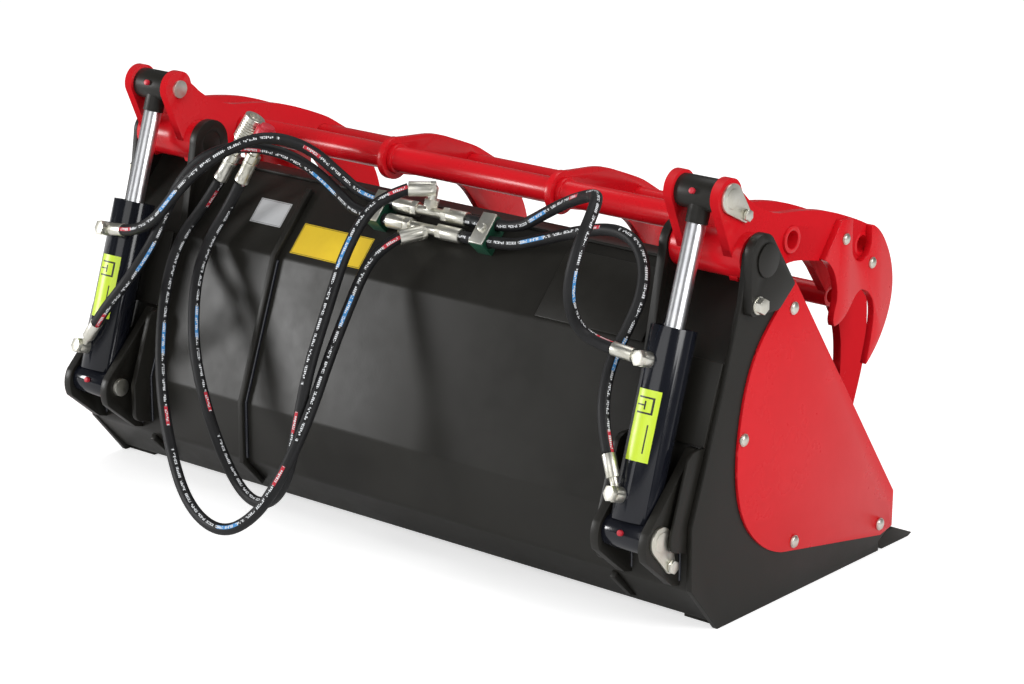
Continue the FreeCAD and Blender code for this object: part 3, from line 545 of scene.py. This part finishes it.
class Finishes:
    """All finishes of the grab bucket, made once."""

    def __init__(self) -> None:
        """Builds every material."""
        self.red = Paint("red_gloss", (0.700, 0.008, 0.016), (0.640, 0.006, 0.012), (0.22, 0.32)).material()
        self.black = Paint("black_satin", (0.013, 0.012, 0.010), (0.017, 0.016, 0.013), (0.36, 0.48)).material()
        self.barrel = Paint("black_gloss", (0.006, 0.007, 0.011), (0.009, 0.010, 0.015), (0.12, 0.22), coat=0.3).material()
        self.chrome = Metal("chrome_rod", (0.86, 0.87, 0.89), (0.76, 0.77, 0.80), (0.26, 0.36), bump=0.02).material()
        self.zinc = Metal("zinc_plate", (0.82, 0.81, 0.75), (0.68, 0.66, 0.56), (0.30, 0.46)).material()
        self.clamp = Moulded("clamp_green", (0.010, 0.075, 0.040), (0.008, 0.055, 0.030), (0.38, 0.50)).material()
        self.cap = Moulded("cap_red", (0.62, 0.020, 0.040), (0.50, 0.015, 0.030), (0.35, 0.50)).material()
        self.yellow = Moulded("label_yellow", (0.86, 0.60, 0.035), (0.80, 0.54, 0.030), (0.30, 0.40), bump=0.05).material()
        self.lime = Moulded("label_lime", (0.66, 0.86, 0.045), (0.60, 0.80, 0.040), (0.28, 0.38), bump=0.05).material()
        self.ink = Moulded("label_ink", (0.012, 0.012, 0.012), (0.018, 0.018, 0.018), (0.35, 0.45), bump=0.05).material()
        self.foil = Moulded("label_silver", (0.56, 0.57, 0.58), (0.50, 0.51, 0.52), (0.26, 0.36), bump=0.05).material()
        self.weld = Paint("weld_black", (0.010, 0.011, 0.018), (0.016, 0.018, 0.028), (0.12, 0.20), peel=0.3, coat=0.5, specular=0.5).material()
        self.hose = HoseSkin().material()

    def by_slot(self, slot: str) -> bpy.types.Material:
        """The finish of a record's material slot."""
        return {"red_paint": self.red, "black_paint": self.black, "chrome": self.chrome, "zinc": self.zinc,
                "wear_steel": self.black, "hose_rubber": self.hose, "clamp_plastic": self.clamp,
                "cap_rubber": self.cap}[slot]


@dataclass
class Softened:
    """CAD nodes shown with their edges rounded, as cut and painted steel has them."""

    finishes: Finishes
    width: float = 0.0011
    skip: tuple[str, ...] = ()

    def build(self) -> None:
        """Makes a rounded piece for each rigid node and hides the node."""
        record = frame["record"]
        slots = {part["node"]: part["material_slot"] for part in record["subparts"]}
        bodies = {node: body for body, nodes in record["behaviour"]["bodies"].items() for node in nodes}
        for name, node in frame["nodes"].items():
            if "hose_" in name and name != "hose_clamps" or name in self.skip:
                continue
            piece = self.rounded(name, node)
            finish = self.finishes.barrel if name.startswith("barrel") else self.finishes.by_slot(slots[name])
            piece.data.materials.clear()
            piece.data.materials.append(finish)
            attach(piece, bodies[name])
            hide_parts(name)
            log.info("%s: %d faces", piece.name, len(piece.data.polygons))

    def rounded(self, name: str, node: bpy.types.Object) -> bpy.types.Object:
        """A merged copy of a node's mesh with rounded edges.

        Args:
            name: The node's name.
            node: The node's object.

        Returns:
            The new piece.
        """
        piece = bpy.data.objects.new(f"{name}_painted", node.data.copy())
        bpy.context.scene.collection.objects.link(piece)
        activate(piece)
        bpy.ops.object.mode_set(mode="EDIT")
        bpy.ops.mesh.select_all(action="SELECT")
        bpy.ops.mesh.remove_doubles(threshold=1e-5)
        if name.startswith("arm_"):
            self.fill_ear(piece)
            bpy.ops.mesh.remove_doubles(threshold=1e-5)
        bpy.ops.mesh.dissolve_limited(angle_limit=math.radians(0.5))
        bpy.ops.object.mode_set(mode="OBJECT")
        return bevelled(piece, self.width)

    @staticmethod
    def fill_ear(piece: bpy.types.Object) -> None:
        """Fills the notch between an arm's ear and its top edge, out to the ear's round.

        Args:
            piece: The arm plate, in edit mode.
        """
        mesh = bmesh.from_edit_mesh(piece.data)
        centre = at(0.0, *TOP_PIN)
        for vertex in mesh.verts:
            away = Vector((0.0, vertex.co.y - centre.y, vertex.co.z - centre.z))
            angle = math.degrees(math.atan2(away.z, away.y))
            if 17 * MM < away.length < 29.9 * MM and 10.1 < angle < 62.0:
                swing = math.radians(min(angle, EAR_ANGLE)) if angle < 55 else math.radians(EAR_ANGLE)
                reach = (28.9 + 1.1 * (math.degrees(swing) - 10) / (EAR_ANGLE - 10)) * MM
                vertex.co.y = centre.y + reach * math.cos(swing)
                vertex.co.z = centre.z + reach * math.sin(swing)
        bmesh.update_edit_mesh(piece.data)


@dataclass
class Turned:
    """A coupling turned from bar, with ribs for the grip, that takes the place of its CAD node."""

    name: str
    foot: Point
    before: Point
    profile: Sequence[tuple[float, float]]
    sides: int = 48

    def build(self, finish: bpy.types.Material) -> None:
        """Makes the coupling as rings along the end of its hose.

        Args:
            finish: Its material.
        """
        start = at(*self.foot)
        along = (start - at(*self.before)).normalized()
        side = along.orthogonal().normalized()
        other = along.cross(side)
        mesh = bmesh.new()
        rings = [[mesh.verts.new(start + along * (far * MM) + radius * MM * (math.cos(t) * side + math.sin(t) * other))
                  for t in (2 * math.pi * k / self.sides for k in range(self.sides))] for far, radius in self.profile]
        for ring, following in zip(rings, rings[1:]):
            for k in range(self.sides):
                n = (k + 1) % self.sides
                mesh.faces.new((ring[k], ring[n], following[n], following[k])).smooth = True
        mesh.faces.new(list(reversed(rings[0])))
        mesh.faces.new(rings[-1])
        bmesh.ops.recalc_face_normals(mesh, faces=mesh.faces)
        data = bpy.data.meshes.new(self.name)
        mesh.to_mesh(data)
        mesh.free()
        coupling = bpy.data.objects.new(f"{self.name}_painted", data)
        bpy.context.scene.collection.objects.link(coupling)
        data.materials.append(finish)
        smooth(coupling)
        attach(coupling, "root")
        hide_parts(self.name)


def ribs(start: float, count: int, pitch: float, low: float, high: float) -> list[tuple[float, float]]:
    """Profile of a row of round ribs, as distances and radii."""
    line: list[tuple[float, float]] = []
    for k in range(count):
        foot = start + k * pitch
        line += [(foot, low), (foot + pitch * 0.15, low), (foot + pitch * 0.3, high), (foot + pitch * 0.8, high),
                 (foot + pitch * 0.95, low)]
    return line


FERRULE = [(0.0, 11.2), (1.0, 12.0), (9.0, 12.0), (10.0, 11.4), (32.0, 11.4), (33.0, 12.0), (39.0, 12.0), (40.0, 11.0)]
PLAIN_COUPLER = [*FERRULE, (41.0, 12.4), (53.0, 12.4), (54.0, 9.0), (73.0, 9.0), (74.0, 13.0), (81.0, 15.4),
                 *ribs(82.0, 8, 4.6, 16.0, 17.9), (119.5, 16.0), (120.0, 17.9), (127.2, 17.9), (128.0, 17.2),
                 (128.0, 12.0), (121.0, 11.4)]
CAPPED_COUPLER = [*FERRULE, (41.0, 12.4), (53.0, 12.4), (54.0, 9.0), (66.0, 9.0), (66.0, 13.0), (72.0, 13.0),
                  (72.4, 15.0), (75.6, 15.0), (76.0, 13.0), (84.0, 13.0)]


@dataclass
class Hose:
    """One hydraulic hose: a smooth line through its route, made a tube."""

    name: str
    route: Sequence[Point]
    turn: float = 0.0
    twist: float = 0.0
    far_end: str = "object"
    lay: str = "loose"
    radius: float = 0.0095
    sides: int = 20
    swing: tuple[str, Point, Point] | None = None
    with_pieces: tuple[str, ...] = ()

    def centreline(self) -> list[Vector]:
        """Points read from the route's NURBS spline."""
        curve = bpy.data.curves.new(f"{self.name}_line", "CURVE")
        curve.dimensions = "3D"
        spline = curve.splines.new("NURBS")
        spline.points.add(len(self.route) - 1)
        for point, place in zip(spline.points, self.route):
            point.co = (*at(*place), 1.0)
        spline.order_u = 3
        spline.use_endpoint_u = True
        spline.resolution_u = 12
        line = bpy.data.objects.new(f"{self.name}_line", curve)
        bpy.context.scene.collection.objects.link(line)
        bpy.context.view_layer.update()
        mesh = bpy.data.meshes.new_from_object(line.evaluated_get(bpy.context.evaluated_depsgraph_get()))
        points = [vertex.co.copy() for vertex in mesh.vertices]
        bpy.data.objects.remove(line)
        bpy.data.meshes.remove(mesh)
        return [p for i, p in enumerate(points) if i == 0 or (p - points[i - 1]).length > 1e-5]

    def build(self, finishes: Finishes) -> bpy.types.Object:
        """Args:
            finishes: The finishes to dress it with.

        Returns:
            The hose.
        """
        points = self.centreline()
        mesh = bmesh.new()
        uv = mesh.loops.layers.uv.new("hose")
        rings, lengths, run = [], [], 0.0
        for i, point in enumerate(points):
            tangent = (points[min(i + 1, len(points) - 1)] - points[max(i - 1, 0)]).normalized()
            side = (PRINT_FACES - tangent * PRINT_FACES.dot(tangent)).normalized()
            other = tangent.cross(side)
            if i:
                run += (point - points[i - 1]).length
            lengths.append(run)
            rings.append([mesh.verts.new(point + self.radius * (math.cos(a) * side + math.sin(a) * other))
                          for a in (2 * math.pi * (k / self.sides - PRINT_LINE) + self.turn + self.twist * run
                                    for k in range(self.sides))])
        for i, (ring, following) in enumerate(zip(rings, rings[1:])):
            for k in range(self.sides):
                n = (k + 1) % self.sides
                face = mesh.faces.new((ring[k], ring[n], following[n], following[k]))
                face.smooth = True
                for loop, (u, v) in zip(face.loops, ((i, k), (i, k + 1), (i + 1, k + 1), (i + 1, k))):
                    loop[uv].uv = (lengths[u], v / self.sides)
        mesh.faces.new(list(reversed(rings[0])))
        mesh.faces.new(rings[-1])
        bmesh.ops.recalc_face_normals(mesh, faces=mesh.faces)
        data = bpy.data.meshes.new(self.name)
        mesh.to_mesh(data)
        mesh.free()
        hose = bpy.data.objects.new(f"{self.name}_cover", data)
        bpy.context.scene.collection.objects.link(hose)
        data.materials.append(finishes.hose)
        if self.swing:
            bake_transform(hose)
        else:
            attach(hose, "root")
        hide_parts(self.name)
        log.info("%s: %.0f mm", hose.name, run / MM)
        return hose


PRINT_LINE = 0.25  # the hoses' print, in turns about the hose
PRINT_FACES = Vector((0.48, -0.80, 0.36))  # the way it faces

ROUTES: dict[str, list[Point]] = {
    "hose_right_top": [
        (505, -80, 430), (470.4, -82.4, 434), (449, -98, 458), (462, -131, 506), (476, -144, 549),
        (481, -133, 590), (477, -102, 624), (458, -63, 640), (420, -16, 636), (325, 39, 599),
        (241, 75, 555), (172, 92.7, 515.7), (75, 92.7, 515.7)],
    "hose_right_bottom": [
        (532, -123, 284), (515.9, -113.8, 312.5), (500, -96, 358), (488, -62, 404), (498, -34, 452),
        (506, -13, 496), (491, 12, 537), (454, 34, 562), (400, 49, 567), (323, 59, 546), (240, 68, 516),
        (172, 72.3, 493.7), (80, 72.3, 493.7)],
    "hose_left_top": [
        (-530, -83, 431), (-496.7, -87.7, 436.1), (-439, -94, 467), (-371, -98, 538), (-318, -70, 591),
        (-270, -10, 620), (-231, 54, 594), (-191, 87, 545), (-142, 92.7, 515.7), (-75, 92.7, 515.7)],
    "hose_left_bottom": [
        (-540, -143, 281), (-518, -145, 308.1), (-480, -128, 359), (-457, -88, 420), (-444, -63, 480),
        (-424, -48, 529), (-385, -30, 573), (-330, -1, 591), (-274, 35, 583), (-229, 64, 554),
        (-188, 77, 518), (-142, 72.3, 493.7), (-73, 72.3, 493.7)],
    "feed_hose_upper": [
        (-31, 72, 553), (-55, 44, 542), (-71, 13, 517), (-75, -33, 459), (-62, -81, 397),
        (-45, -150, 305), (-36, -186, 224), (-42, -204, 138), (-86, -197, 83), (-152, -179, 65),
        (-222, -156, 95), (-287, -141, 183), (-336, -119, 277), (-385, -63, 362), (-410, -6, 416),
        (-397.5, 32.5, 470), (-377, 42, 514)],
    "feed_hose_lower": [
        (-20, 37, 482), (-33, 14, 470), (-42, -16, 445), (-40, -60, 388), (-32, -115, 320),
        (-15, -184, 236), (-20, -236, 159), (-57, -265, 84), (-134, -267, 39), (-231, -245, 60),
        (-311, -205, 141), (-371, -162, 238), (-429, -93, 339), (-473, -13, 410), (-451.5, 33.5, 467.2),
        (-428, 44, 510)],
}


@dataclass
class Bead:
    """A weld bead with its ripples, laid along a line of the drawing."""

    name: str
    line: Sequence[Point]
    radius: float = 3.0
    body: str = "root"
    slot: Slot = Slot.BLACK
    pitch: float = 3.2
    sides: int = 8

    def build(self, finish: bpy.types.Material) -> bpy.types.Object:
        """Makes the bead as a tube that swells at every ripple.

        Args:
            finish: Its material.

        Returns:
            The bead.
        """
        points: list[Vector] = []
        for start, end in zip(self.line, self.line[1:]):
            a, b = Vector(start), Vector(end)
            count = max(2, round((b - a).length / self.pitch * 2))
            points += [a.lerp(b, k / count) for k in range(count)]
        points.append(Vector(self.line[-1]))
        mesh = bmesh.new()
        rings = []
        for i, point in enumerate(points):
            tangent = (points[min(i + 1, len(points) - 1)] - points[max(i - 1, 0)]).normalized()
            side = tangent.orthogonal().normalized()
            other = tangent.cross(side)
            radius = self.radius * (1.0 if i % 2 else 0.80)
            if i in (0, len(points) - 1):
                radius *= 0.55
            rings.append([mesh.verts.new(at(*(point + radius * (math.cos(t) * side + math.sin(t) * other))))
                          for t in (2 * math.pi * k / self.sides for k in range(self.sides))])
        for ring, following in zip(rings, rings[1:]):
            for k in range(self.sides):
                n = (k + 1) % self.sides
                mesh.faces.new((ring[k], ring[n], following[n], following[k])).smooth = True
        mesh.faces.new(list(reversed(rings[0])))
        mesh.faces.new(rings[-1])
        bmesh.ops.recalc_face_normals(mesh, faces=mesh.faces)
        data = bpy.data.meshes.new(self.name)
        mesh.to_mesh(data)
        mesh.free()
        bead = bpy.data.objects.new(self.name, data)
        bpy.context.scene.collection.objects.link(bead)
        data.materials.append(finish)
        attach(bead, self.body)
        return bead


@dataclass
class Label:
    """A thin label, flat on a surface or wrapped about a barrel, with its border and marks."""

    name: str
    corners: tuple[Point, Point, Point, Point]
    body: str = "root"
    slot: Slot = Slot.CAP
    marks: Sequence[tuple[float, float, float, float]] = ()
    axis: tuple[Vector, Vector, float] | None = None
    steps: int = 12

    def spot(self, u: float, v: float, lift: float) -> Vector:
        """A point of the label, from 0 to 1 across and up, lifted off its surface by some mm."""
        a, b, c, d = (Vector(corner) for corner in self.corners)
        flat = a.lerp(b, u).lerp(d.lerp(c, u), v)
        if not self.axis:
            return at(*(flat + (b - a).cross(d - a).normalized() * lift))
        foot, along, radius = self.axis
        centre = foot + along * (flat - foot).dot(along)
        return at(*(centre + (flat - centre).normalized() * (radius + lift)))

    def patch(self, mesh: bmesh.types.BMesh, box: tuple[float, float, float, float], lift: float, index: int) -> None:
        """Adds one rectangle of the label, in steps that follow a curved surface."""
        u0, v0, u1, v1 = box
        steps = self.steps if self.axis else 1
        rows = [[mesh.verts.new(self.spot(u0 + (u1 - u0) * k / steps, v, lift)) for k in range(steps + 1)]
                for v in (v0, v1)]
        for k in range(steps):
            face = mesh.faces.new((rows[0][k], rows[0][k + 1], rows[1][k + 1], rows[1][k]))
            face.material_index = index
            face.smooth = bool(self.axis)

    def build(self, finish: bpy.types.Material, ink: bpy.types.Material) -> bpy.types.Object:
        """Makes the label as a sheet lifted just off its surface, with its marks a little higher.

        Args:
            finish: Its ground.
            ink: Its printed marks.

        Returns:
            The label.
        """
        mesh = bmesh.new()
        self.patch(mesh, (0.0, 0.0, 1.0, 1.0), 0.25, 0)
        for mark in self.marks:
            self.patch(mesh, mark, 0.33, 1)
        data = bpy.data.meshes.new(self.name)
        mesh.to_mesh(data)
        mesh.free()
        label = bpy.data.objects.new(self.name, data)
        bpy.context.scene.collection.objects.link(label)
        data.materials.append(finish)
        data.materials.append(ink)
        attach(label, self.body)
        return label


def frame_marks(width: float, height: float, line: float, inset: float) -> list[tuple[float, float, float, float]]:
    """Four strips that make a border inside a label of some mm."""
    u, v, a, b = line / width, line / height, inset / width, inset / height
    return [(a, b, 1 - a, b + v), (a, 1 - b - v, 1 - a, 1 - b), (a, b, a + u, 1 - b), (1 - a - u, b, 1 - a, 1 - b)]


class Trim:
    """Small pieces that the CAD model leaves out: labels, grease caps and weld beads."""

    def __init__(self, finishes: Finishes) -> None:
        """Keeps the finishes and works out the cylinders' lean."""
        self.finishes = finishes
        rise = Vector((0.0, TOP_PIN[0] - LOWER_PIN[0], TOP_PIN[1] - LOWER_PIN[1]))
        self.reach = rise.length
        self.along = rise.normalized()
        self.rear = Vector((0.0, -self.along.z, self.along.y))

    def labels(self) -> None:
        """Type plate and yellow label on the panel, and one label on each barrel, all blank."""
        Label("type_plate", (on_slope(-370, 51, 0), on_slope(-300, 51, 0), on_slope(-300, 97, 0), on_slope(-370, 97, 0)),
              slot=Slot.ZINC, marks=frame_marks(70, 46, 0.6, 1.6)).build(self.finishes.foil, self.finishes.ink)
        Label("yellow_label", (on_slope(-253, 12, 0), on_slope(-99, 12, 0), on_slope(-99, 69, 0), on_slope(-253, 69, 0)),
              marks=frame_marks(154, 57, 0.8, 1.2)).build(self.finishes.yellow, self.finishes.ink)
        for word, side in SIDES.items():
            foot = Vector((side * CYLINDER_X, *LOWER_PIN))
            face = (self.rear * math.cos(0.12) + Vector((1.0, 0.0, 0.0)) * math.sin(0.12)).normalized()
            across = self.along.cross(face)
            low, high = foot + self.along * 108 + face * 33, foot + self.along * 214 + face * 33
            corners = (low + across * 21, low - across * 21, high - across * 21, high + across * 21)
            symbol = [(0.22, 0.66, 0.30, 0.90), (0.22, 0.66, 0.86, 0.685), (0.22, 0.875, 0.86, 0.90),
                      (0.52, 0.72, 0.58, 0.84), (0.58, 0.77, 0.90, 0.79), (0.28, 0.12, 0.33, 0.52)]
            Label(f"cylinder_label_{word}", tuple(tuple(corner) for corner in corners), body=f"barrel_{word}",
                  marks=symbol, axis=(foot, self.along, 35.0)).build(self.finishes.lime, self.finishes.ink)

    def grease_cap(self, name: str, seat: Vector, body: str) -> None:
        """A small red cap over a grease nipple that points to the rear.

        Args:
            name: The cap's name.
            seat: Its foot on the eye, in the drawing's mm.
            body: The body that it rides on.
        """
        deselect()
        bpy.ops.mesh.primitive_cylinder_add(vertices=20, radius=4.6 * MM, depth=7 * MM)
        cap = bpy.context.object
        cap.name = cap.data.name = name
        cap.rotation_mode = "QUATERNION"
        cap.rotation_quaternion = self.rear.to_track_quat("Z", "Y")
        cap.location = at(*(seat + self.rear * 2.5))
        settle(cap)
        bevelled(cap, 0.0016, 3)
        cap.data.materials.append(self.finishes.cap)
        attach(cap, body)

    def caps(self) -> None:
        """Grease caps on the four eyes."""
        for word, side in SIDES.items():
            foot = Vector((side * CYLINDER_X, *LOWER_PIN))
            self.grease_cap(f"foot_cap_{word}", foot + self.rear * 25, f"barrel_{word}")
            self.grease_cap(f"eye_cap_{word}", foot + self.along * self.reach + self.rear * 25, f"rod_{word}")

    def welds(self) -> None:
        """Beads where brackets, gussets and lugs meet the back, and along the long rib."""
        black = self.finishes.weld
        for word, side in SIDES.items():
            for number, (x, low, high) in enumerate(((493, 100, 288), (505, 100, 288), (628.5, 140, 288))):
                line = [(side * x, panel_y(z) - 1, z) for z in (low, 178.0, high)]
                Bead(f"gusset_weld_{number + 1}_{word}", line, 2.6).build(black)
            for number, x in enumerate((517.5, 533.5, 606.5, 622.5)):
                line = [(side * x, panel_y(z) - 1, z) for z in (92.0, 178.0, 284.0)]
                Bead(f"bracket_weld_{number + 1}_{word}", line, 2.8).build(black)
            for number, x in enumerate((487.5, 503.5)):
                Bead(f"lug_weld_{number + 1}_{word}", [on_slope(side * x, 8, 1), on_slope(side * x, 132, 1)],
                     2.8).build(black)
        for number, x in enumerate((-281.0, -269.0)):
            line = [(x, panel_y(z) - 1.5, z) for z in (84.0, 178.0, 405.0)]
            Bead(f"long_rib_weld_{number + 1}", line, 3.0).build(black)

    def build(self) -> None:
        """Makes every trim piece."""
        self.labels()
        self.caps()
        self.welds()


def panel_y(z: float) -> float:
    """Y of the back panel's rear face at a height below its upper fold, in mm."""
    for (y0, z0), (y1, z1) in (((0.0, 8.0), (-66.0, 80.0)), ((-66.0, 80.0), (-66.0, 178.0)), ((-66.0, 178.0), UPPER_FOLD)):
        if z <= z1:
            break
    return y0 + (y1 - y0) * (z - z0) / (z1 - z0)


@dataclass
class Studio:
    """Camera, floor and lamps."""

    lens: float = 109.83
    place: Point = (3199.2, -3510.5, 1776.0)
    pitch: float = 17.044
    yaw: float = 40.087
    floor_tint: Colour = (0.90, 0.90, 0.90)
    floor_lift: float = 0.55
    ambient: float = 0.40
    mirrored: float = 0.12

    def camera(self) -> None:
        """Sets the camera at the photograph's viewing angle."""
        data = bpy.data.cameras.new("camera")
        data.lens = self.lens
        data.sensor_width = 36.0
        camera = bpy.data.objects.new("camera", data)
        camera.location = at(*self.place)
        camera.rotation_euler = (math.radians(90 - self.pitch), 0.0, math.radians(self.yaw))
        data.clip_end = 100.0
        bpy.context.scene.collection.objects.link(camera)
        bpy.context.scene.camera = camera

    def floor(self) -> None:
        """Adds a wide plain floor."""
        deselect()
        bpy.ops.mesh.primitive_plane_add(size=60.0)
        floor = bpy.context.object
        floor.name = "studio_floor"
        shader = Shader("studio_floor")
        shader.bsdf.inputs["Base Color"].default_value = (*self.floor_tint, 1.0)
        shader.bsdf.inputs["Roughness"].default_value = 0.9
        shader.bsdf.inputs["Specular IOR Level"].default_value = 0.0
        shader.bsdf.inputs["Emission Color"].default_value = (1.0, 1.0, 1.0, 1.0)
        seen = shader.node("ShaderNodeLightPath").outputs["Is Camera Ray"]
        shader.link(shader.math("MULTIPLY", seen, self.floor_lift), shader.bsdf.inputs["Emission Strength"])
        floor.data.materials.append(shader.material)

    def lamp(self, name: str, place: Point, aim: Point, size: float, power: float) -> None:
        """Adds a square soft lamp.

        Args:
            name: The lamp's name.
            place: Its place in metres.
            aim: The point that it faces.
            size: Its side in metres.
            power: Its power in watts.
        """
        data = bpy.data.lights.new(name, "AREA")
        data.size = size
        data.energy = power
        lamp = bpy.data.objects.new(name, data)
        lamp.location = place
        lamp.rotation_euler = (Vector(aim) - Vector(place)).to_track_quat("-Z", "Y").to_euler()
        bpy.context.scene.collection.objects.link(lamp)

    def world(self) -> None:
        """Gives an even pale surrounding."""
        world = bpy.data.worlds.new("studio")
        world.use_nodes = True
        tree = world.node_tree
        back = tree.nodes["Background"]
        back.inputs["Color"].default_value = (1.0, 1.0, 1.0, 1.0)
        rays = tree.nodes.new("ShaderNodeLightPath")
        strength: bpy.types.NodeSocket | None = None
        for ray, value in (("Is Camera Ray", 1.0 - self.ambient), ("Is Glossy Ray", self.mirrored - self.ambient)):
            part = tree.nodes.new("ShaderNodeMath")
            part.operation = "MULTIPLY_ADD"
            part.inputs[1].default_value = value
            part.inputs[2].default_value = self.ambient
            tree.links.new(rays.outputs[ray], part.inputs[0])
            if strength:
                tree.links.new(strength, part.inputs[2])
            strength = part.outputs[0]
        tree.links.new(strength, back.inputs["Strength"])
        bpy.context.scene.world = world

    def build(self) -> None:
        """Sets up the whole studio."""
        self.camera()
        self.floor()
        self.world()
        self.lamp("key_lamp", (-4.5, -3.4, 1.3), (0.0, 0.0, 0.35), 1.2, 138.0)
        self.lamp("fill_lamp", (0.8, -5.0, 2.6), (0.0, 0.0, 0.3), 3.6, 75.0)
        self.lamp("side_lamp", (4.5, -0.3, 2.6), (0.3, 0.0, 0.3), 2.2, 100.0)
        self.lamp("top_lamp", (-0.6, 1.5, 5.0), (0.0, 0.0, 0.3), 3.0, 60.0)
        view = bpy.context.scene.view_settings
        view.view_transform = "Standard"


def hoses() -> list[Hose]:
    """The six hoses, each with its print's turn and twist, and the barrel named in its swing."""
    prints = {"hose_right_top": (1.3, -2.4), "hose_right_bottom": (0.9, -1.4), "hose_left_bottom": (0.8, -0.5),
              "feed_hose_upper": (0.2, 0.6), "feed_hose_lower": (-0.2, 0.9)}
    made = []
    for name, route in ROUTES.items():
        swing = None
        if name.startswith("hose_"):
            side = name.split("_")[1]
            swing = (f"barrel_{side}", route[5], route[0])
        ends = {"feed_hose_upper": ("capped_coupler_painted", "dust_cap_painted"),
                "feed_hose_lower": ("plain_coupler_painted",)}.get(name, ())
        far = "connector" if ends else "object"
        turn, twist = prints.get(name, (0.0, 0.0))
        made.append(Hose(name, route, turn, twist, far_end=far, swing=swing, with_pieces=ends,
                         lay="hanging" if ends else "loose"))
    return made


def main() -> None:
    """Builds the studio, the finishes and every piece."""
    logging.basicConfig(level=logging.INFO, format="%(name)s: %(message)s")
    Studio().build()
    finishes = Finishes()
    Softened(finishes, skip=("plain_coupler", "capped_coupler")).build()
    for name, hose, profile in (("plain_coupler", "feed_hose_lower", PLAIN_COUPLER),
                                ("capped_coupler", "feed_hose_upper", CAPPED_COUPLER)):
        before, foot = ROUTES[hose][-2:]
        Turned(name, foot, before, profile).build(finishes.zinc)
    for hose in hoses():
        hose.build(finishes)
    Trim(finishes).build()


if __name__ == "__main__":
    main()
